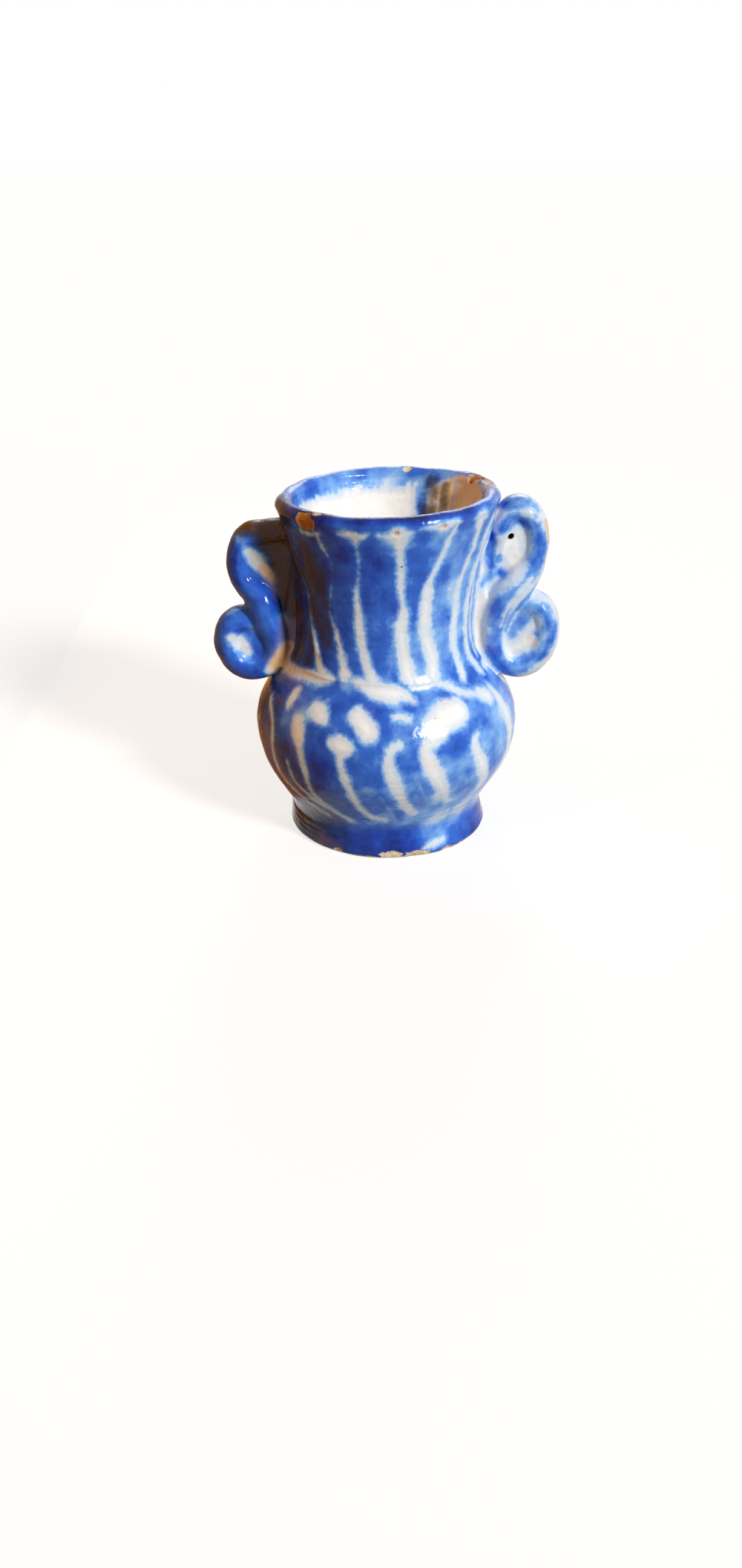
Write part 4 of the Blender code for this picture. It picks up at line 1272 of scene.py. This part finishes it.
right = Scroll(
    1, ((22.15, 51.32), 3.15, 5.68, 180.0, -50.0), ((22.95, 36.0), 4.6, 6.3, 150.0, 550.0, 0.16),
    ((18.0, 45.6), (17.9, 47.0), (18.2, 48.4), (18.6, 49.9)), COIL_TIP,
)
right_top = max(range(len(right.upper)), key=lambda at: right.upper[at].y)
right_web = [tuple(point) for point in right.upper[right_top:] + right.middle]
right_web += [(19.2, 37.0), (19.4, 31.5), (16.0, 30.0), (14.6, 41.0), (15.0, 48.0), (16.6, 57.0)]
right_root = [
    (14.0, 28.4), (19.6, 28.2), (21.0, 31.2), (18.8, 34.4), (17.6, 40.0), (15.6, 49.0), (14.0, 49.0),
]
right_mesh = handle_mesh("right_handle", right, right_web, RIGHT_WEB_DEPTH, right_root)
spots = spots_of(right_mesh)
away = np.hypot(spots[:, 0] - PINHOLE[0], spots[:, 2] - PINHOLE[1]) / PINHOLE_RADIUS
front = spots[:, 1] < 0
spots[:, 1] += np.where(front, PINHOLE_DEPTH * np.clip(1 - away**2, 0, 1), 0.0)
put_spots(right_mesh, spots)
# Painted shade: the right handle's pinhole, a shallow dent, is painted black inside.
mark(right_mesh, "hole", np.where(front, np.clip(1.5 - away, 0, 1), 0.0))
flat = on_flat(spots, 1)
right_paint = PAINT_BLEED * np.minimum(0.5 - clear_of(RIGHT_BLUES, *flat), clear_of(RIGHT_WHITES, *flat))
right_paint = np.maximum(right_paint, STRAY_WASH * grain(spots * (1.0, 1.0, 0.6), 2.0) - STRAY_GAP)
right_nodes = ("right_handle", "right_web", "right_upper_slip", "right_lower_slip")
finish_handle(
    "right_handle", right_mesh, right, right_paint, RIGHT_WASHES, RIGHT_WARM_SHADE, (), RIGHT_CHIP,
    right_nodes,
)

# Studio: a plain pale floor, a soft key lamp from the right and above, a dim one from behind, and weak
# small lamps for the glints on the glaze. Brown cards that the camera doesn't see warm the left side.
# The camera looks down at the pot from the front, as the photograph does.
IMAGE_HEIGHT = 2114
FOCAL_PIXELS = 1950
SENSOR = 36.0
CAMERA_PLACE = (-0.0024, -0.2368, 0.1179)
CAMERA_DOWN = 25.26
NEAREST_SEEN = 0.01
FLOOR_HALF = 3.0
KEY_FROM = (0.595, -0.661, 0.457)
KEY_STRENGTH = 3.3
KEY_SOFTNESS = 11.0
KEY_COLOUR = (1.0, 0.985, 0.96)
BACK_FROM = (0.1, 0.85, 0.5)
BACK_STRENGTH = 0.8
BACK_SOFTNESS = 30.0
BACK_COLOUR = (1.0, 0.98, 0.95)
GLINTS_FROM = ((-0.25, -0.45, 0.86), (0.25, -0.2, 0.95), (0.85, -0.1, 0.52), (-0.05, 0.55, 0.83))
WARM_GLINTS_FROM = ((-0.72, -0.58, 0.38), (-0.88, -0.12, 0.46))
GLINT_STRENGTH = 0.07
GLINT_SOFTNESS = 1.5
GLINT_WHITE = (1.0, 1.0, 1.0)
GLINT_WARM = (1.0, 0.82, 0.55)
FLOOR_GLOW = (0.74, 0.74, 0.74)
FLOOR_PALE = (0.34, 0.34, 0.34)
FLOOR_BOUNCE = (0.26, 0.21, 0.16)
AMBIENT = (0.055, 0.047, 0.04)
SKY_WHITE = (1.0, 1.0, 1.0)
CARD_BROWN = (0.85, 0.43, 0.14)
CARD_NEAR = 0.019
CARD_FAR = 0.075
CARD_LIFT = 0.0003
CARD_TALL = 0.20
CARD_FRONT = -0.10
CARD_LONG = 0.30


def sun(name, source, strength, colour, softness):
    """A lamp far away, shining from a direction."""
    lamp = bpy.data.lights.new(name, "SUN")
    lamp.energy = strength
    lamp.color = colour
    lamp.angle = math.radians(softness)
    holder = bpy.data.objects.new(name, lamp)
    holder.rotation_euler = Vector(source).to_track_quat("Z", "Y").to_euler()
    bpy.context.scene.collection.objects.link(holder)


def seen_directly(tree):
    """A wire that is 1 for what the camera sees, straight or in gloss, and 0 for light on its way."""
    path = tree.nodes.new("ShaderNodeLightPath")
    seen = Wire(tree, path.outputs["Is Camera Ray"])
    for kind in ("Is Glossy Ray", "Is Transmission Ray"):
        seen = seen.greater(Wire(tree, path.outputs[kind]))
    return seen


sun("key", KEY_FROM, KEY_STRENGTH, KEY_COLOUR, KEY_SOFTNESS)
for at, source in enumerate(GLINTS_FROM):
    sun(f"glint_{at}", source, GLINT_STRENGTH, GLINT_WHITE, GLINT_SOFTNESS)
for at, source in enumerate(WARM_GLINTS_FROM):
    sun(f"warm_glint_{at}", source, GLINT_STRENGTH, GLINT_WARM, GLINT_SOFTNESS)
sun("back", BACK_FROM, BACK_STRENGTH, BACK_COLOUR, BACK_SOFTNESS)

floor_shape = bmesh.new()
bmesh.ops.create_grid(floor_shape, x_segments=1, y_segments=1, size=FLOOR_HALF)
floor_mesh = bpy.data.meshes.new("floor")
floor_shape.to_mesh(floor_mesh)
floor_shape.free()
floor_material = bpy.data.materials.new("pale_floor")
floor_material.use_nodes = True
tree = floor_material.node_tree
tree.nodes.remove(tree.nodes["Principled BSDF"])
seen = seen_directly(tree)
glow = seen.node("ShaderNodeEmission", {}, {"Color": (*FLOOR_GLOW, 1.0), "Strength": 1.0})
pale = seen.node("ShaderNodeBsdfDiffuse", {}, {"Color": (*FLOOR_PALE, 1.0)})
both = seen.node("ShaderNodeAddShader", {}, {0: glow, 1: pale})
bounce = seen.node("ShaderNodeBsdfDiffuse", {}, {"Color": (*FLOOR_BOUNCE, 1.0)})
look = seen.node("ShaderNodeMixShader", {}, {0: seen, 1: bounce, 2: both})
seen.feed(tree.nodes["Material Output"].inputs["Surface"], look)
floor_mesh.materials.append(floor_material)
floor = bpy.data.objects.new("floor", floor_mesh)
bpy.context.scene.collection.objects.link(floor)

card_material = bpy.data.materials.new("brown_card")
card_material.use_nodes = True
card_shader = card_material.node_tree.nodes["Principled BSDF"]
card_shader.inputs["Base Color"].default_value = (*CARD_BROWN, 1.0)
card_shader.inputs["Roughness"].default_value = 1.0
card_shader.inputs["Specular IOR Level"].default_value = 0.0


def brown_card(name, start, end):
    """A card along the left of the pot, between two (across, up) places. The camera doesn't see it."""
    shape = bmesh.new()
    corners = [shape.verts.new((across, CARD_FRONT, up)) for across, up in (start, end)]
    edge = shape.edges.new(corners)
    swept = bmesh.ops.extrude_edge_only(shape, edges=[edge])["geom"]
    moved = [part for part in swept if isinstance(part, bmesh.types.BMVert)]
    bmesh.ops.translate(shape, verts=moved, vec=(0.0, CARD_LONG, 0.0))
    mesh = bpy.data.meshes.new(name)
    shape.to_mesh(mesh)
    shape.free()
    mesh.materials.append(card_material)
    card = bpy.data.objects.new(name, mesh)
    card.visible_camera = False
    card.visible_shadow = False
    bpy.context.scene.collection.objects.link(card)
    return card


brown_card("standing_card", (-CARD_FAR, CARD_LIFT), (-CARD_FAR, CARD_TALL))
lying_card = brown_card("lying_card", (-CARD_NEAR, CARD_LIFT), (-CARD_FAR, CARD_LIFT))
lying_card.visible_diffuse = False

world = bpy.data.worlds.new("studio")
world.use_nodes = True
bpy.context.scene.world = world
tree = world.node_tree
seen = seen_directly(tree)
sky = seen.tinted((*AMBIENT, 1.0), (*SKY_WHITE, 1.0))
seen.feed(tree.nodes["Background"].inputs["Color"], sky)

camera_data = bpy.data.cameras.new("camera")
camera_data.sensor_width = SENSOR
camera_data.lens = FOCAL_PIXELS / IMAGE_HEIGHT * SENSOR
camera_data.clip_start = NEAREST_SEEN
camera = bpy.data.objects.new("camera", camera_data)
camera.location = CAMERA_PLACE
camera.rotation_euler = (math.radians(90 - CAMERA_DOWN), 0.0, 0.0)
bpy.context.scene.collection.objects.link(camera)
bpy.context.scene.camera = camera
bpy.context.scene.view_settings.view_transform = "Standard"
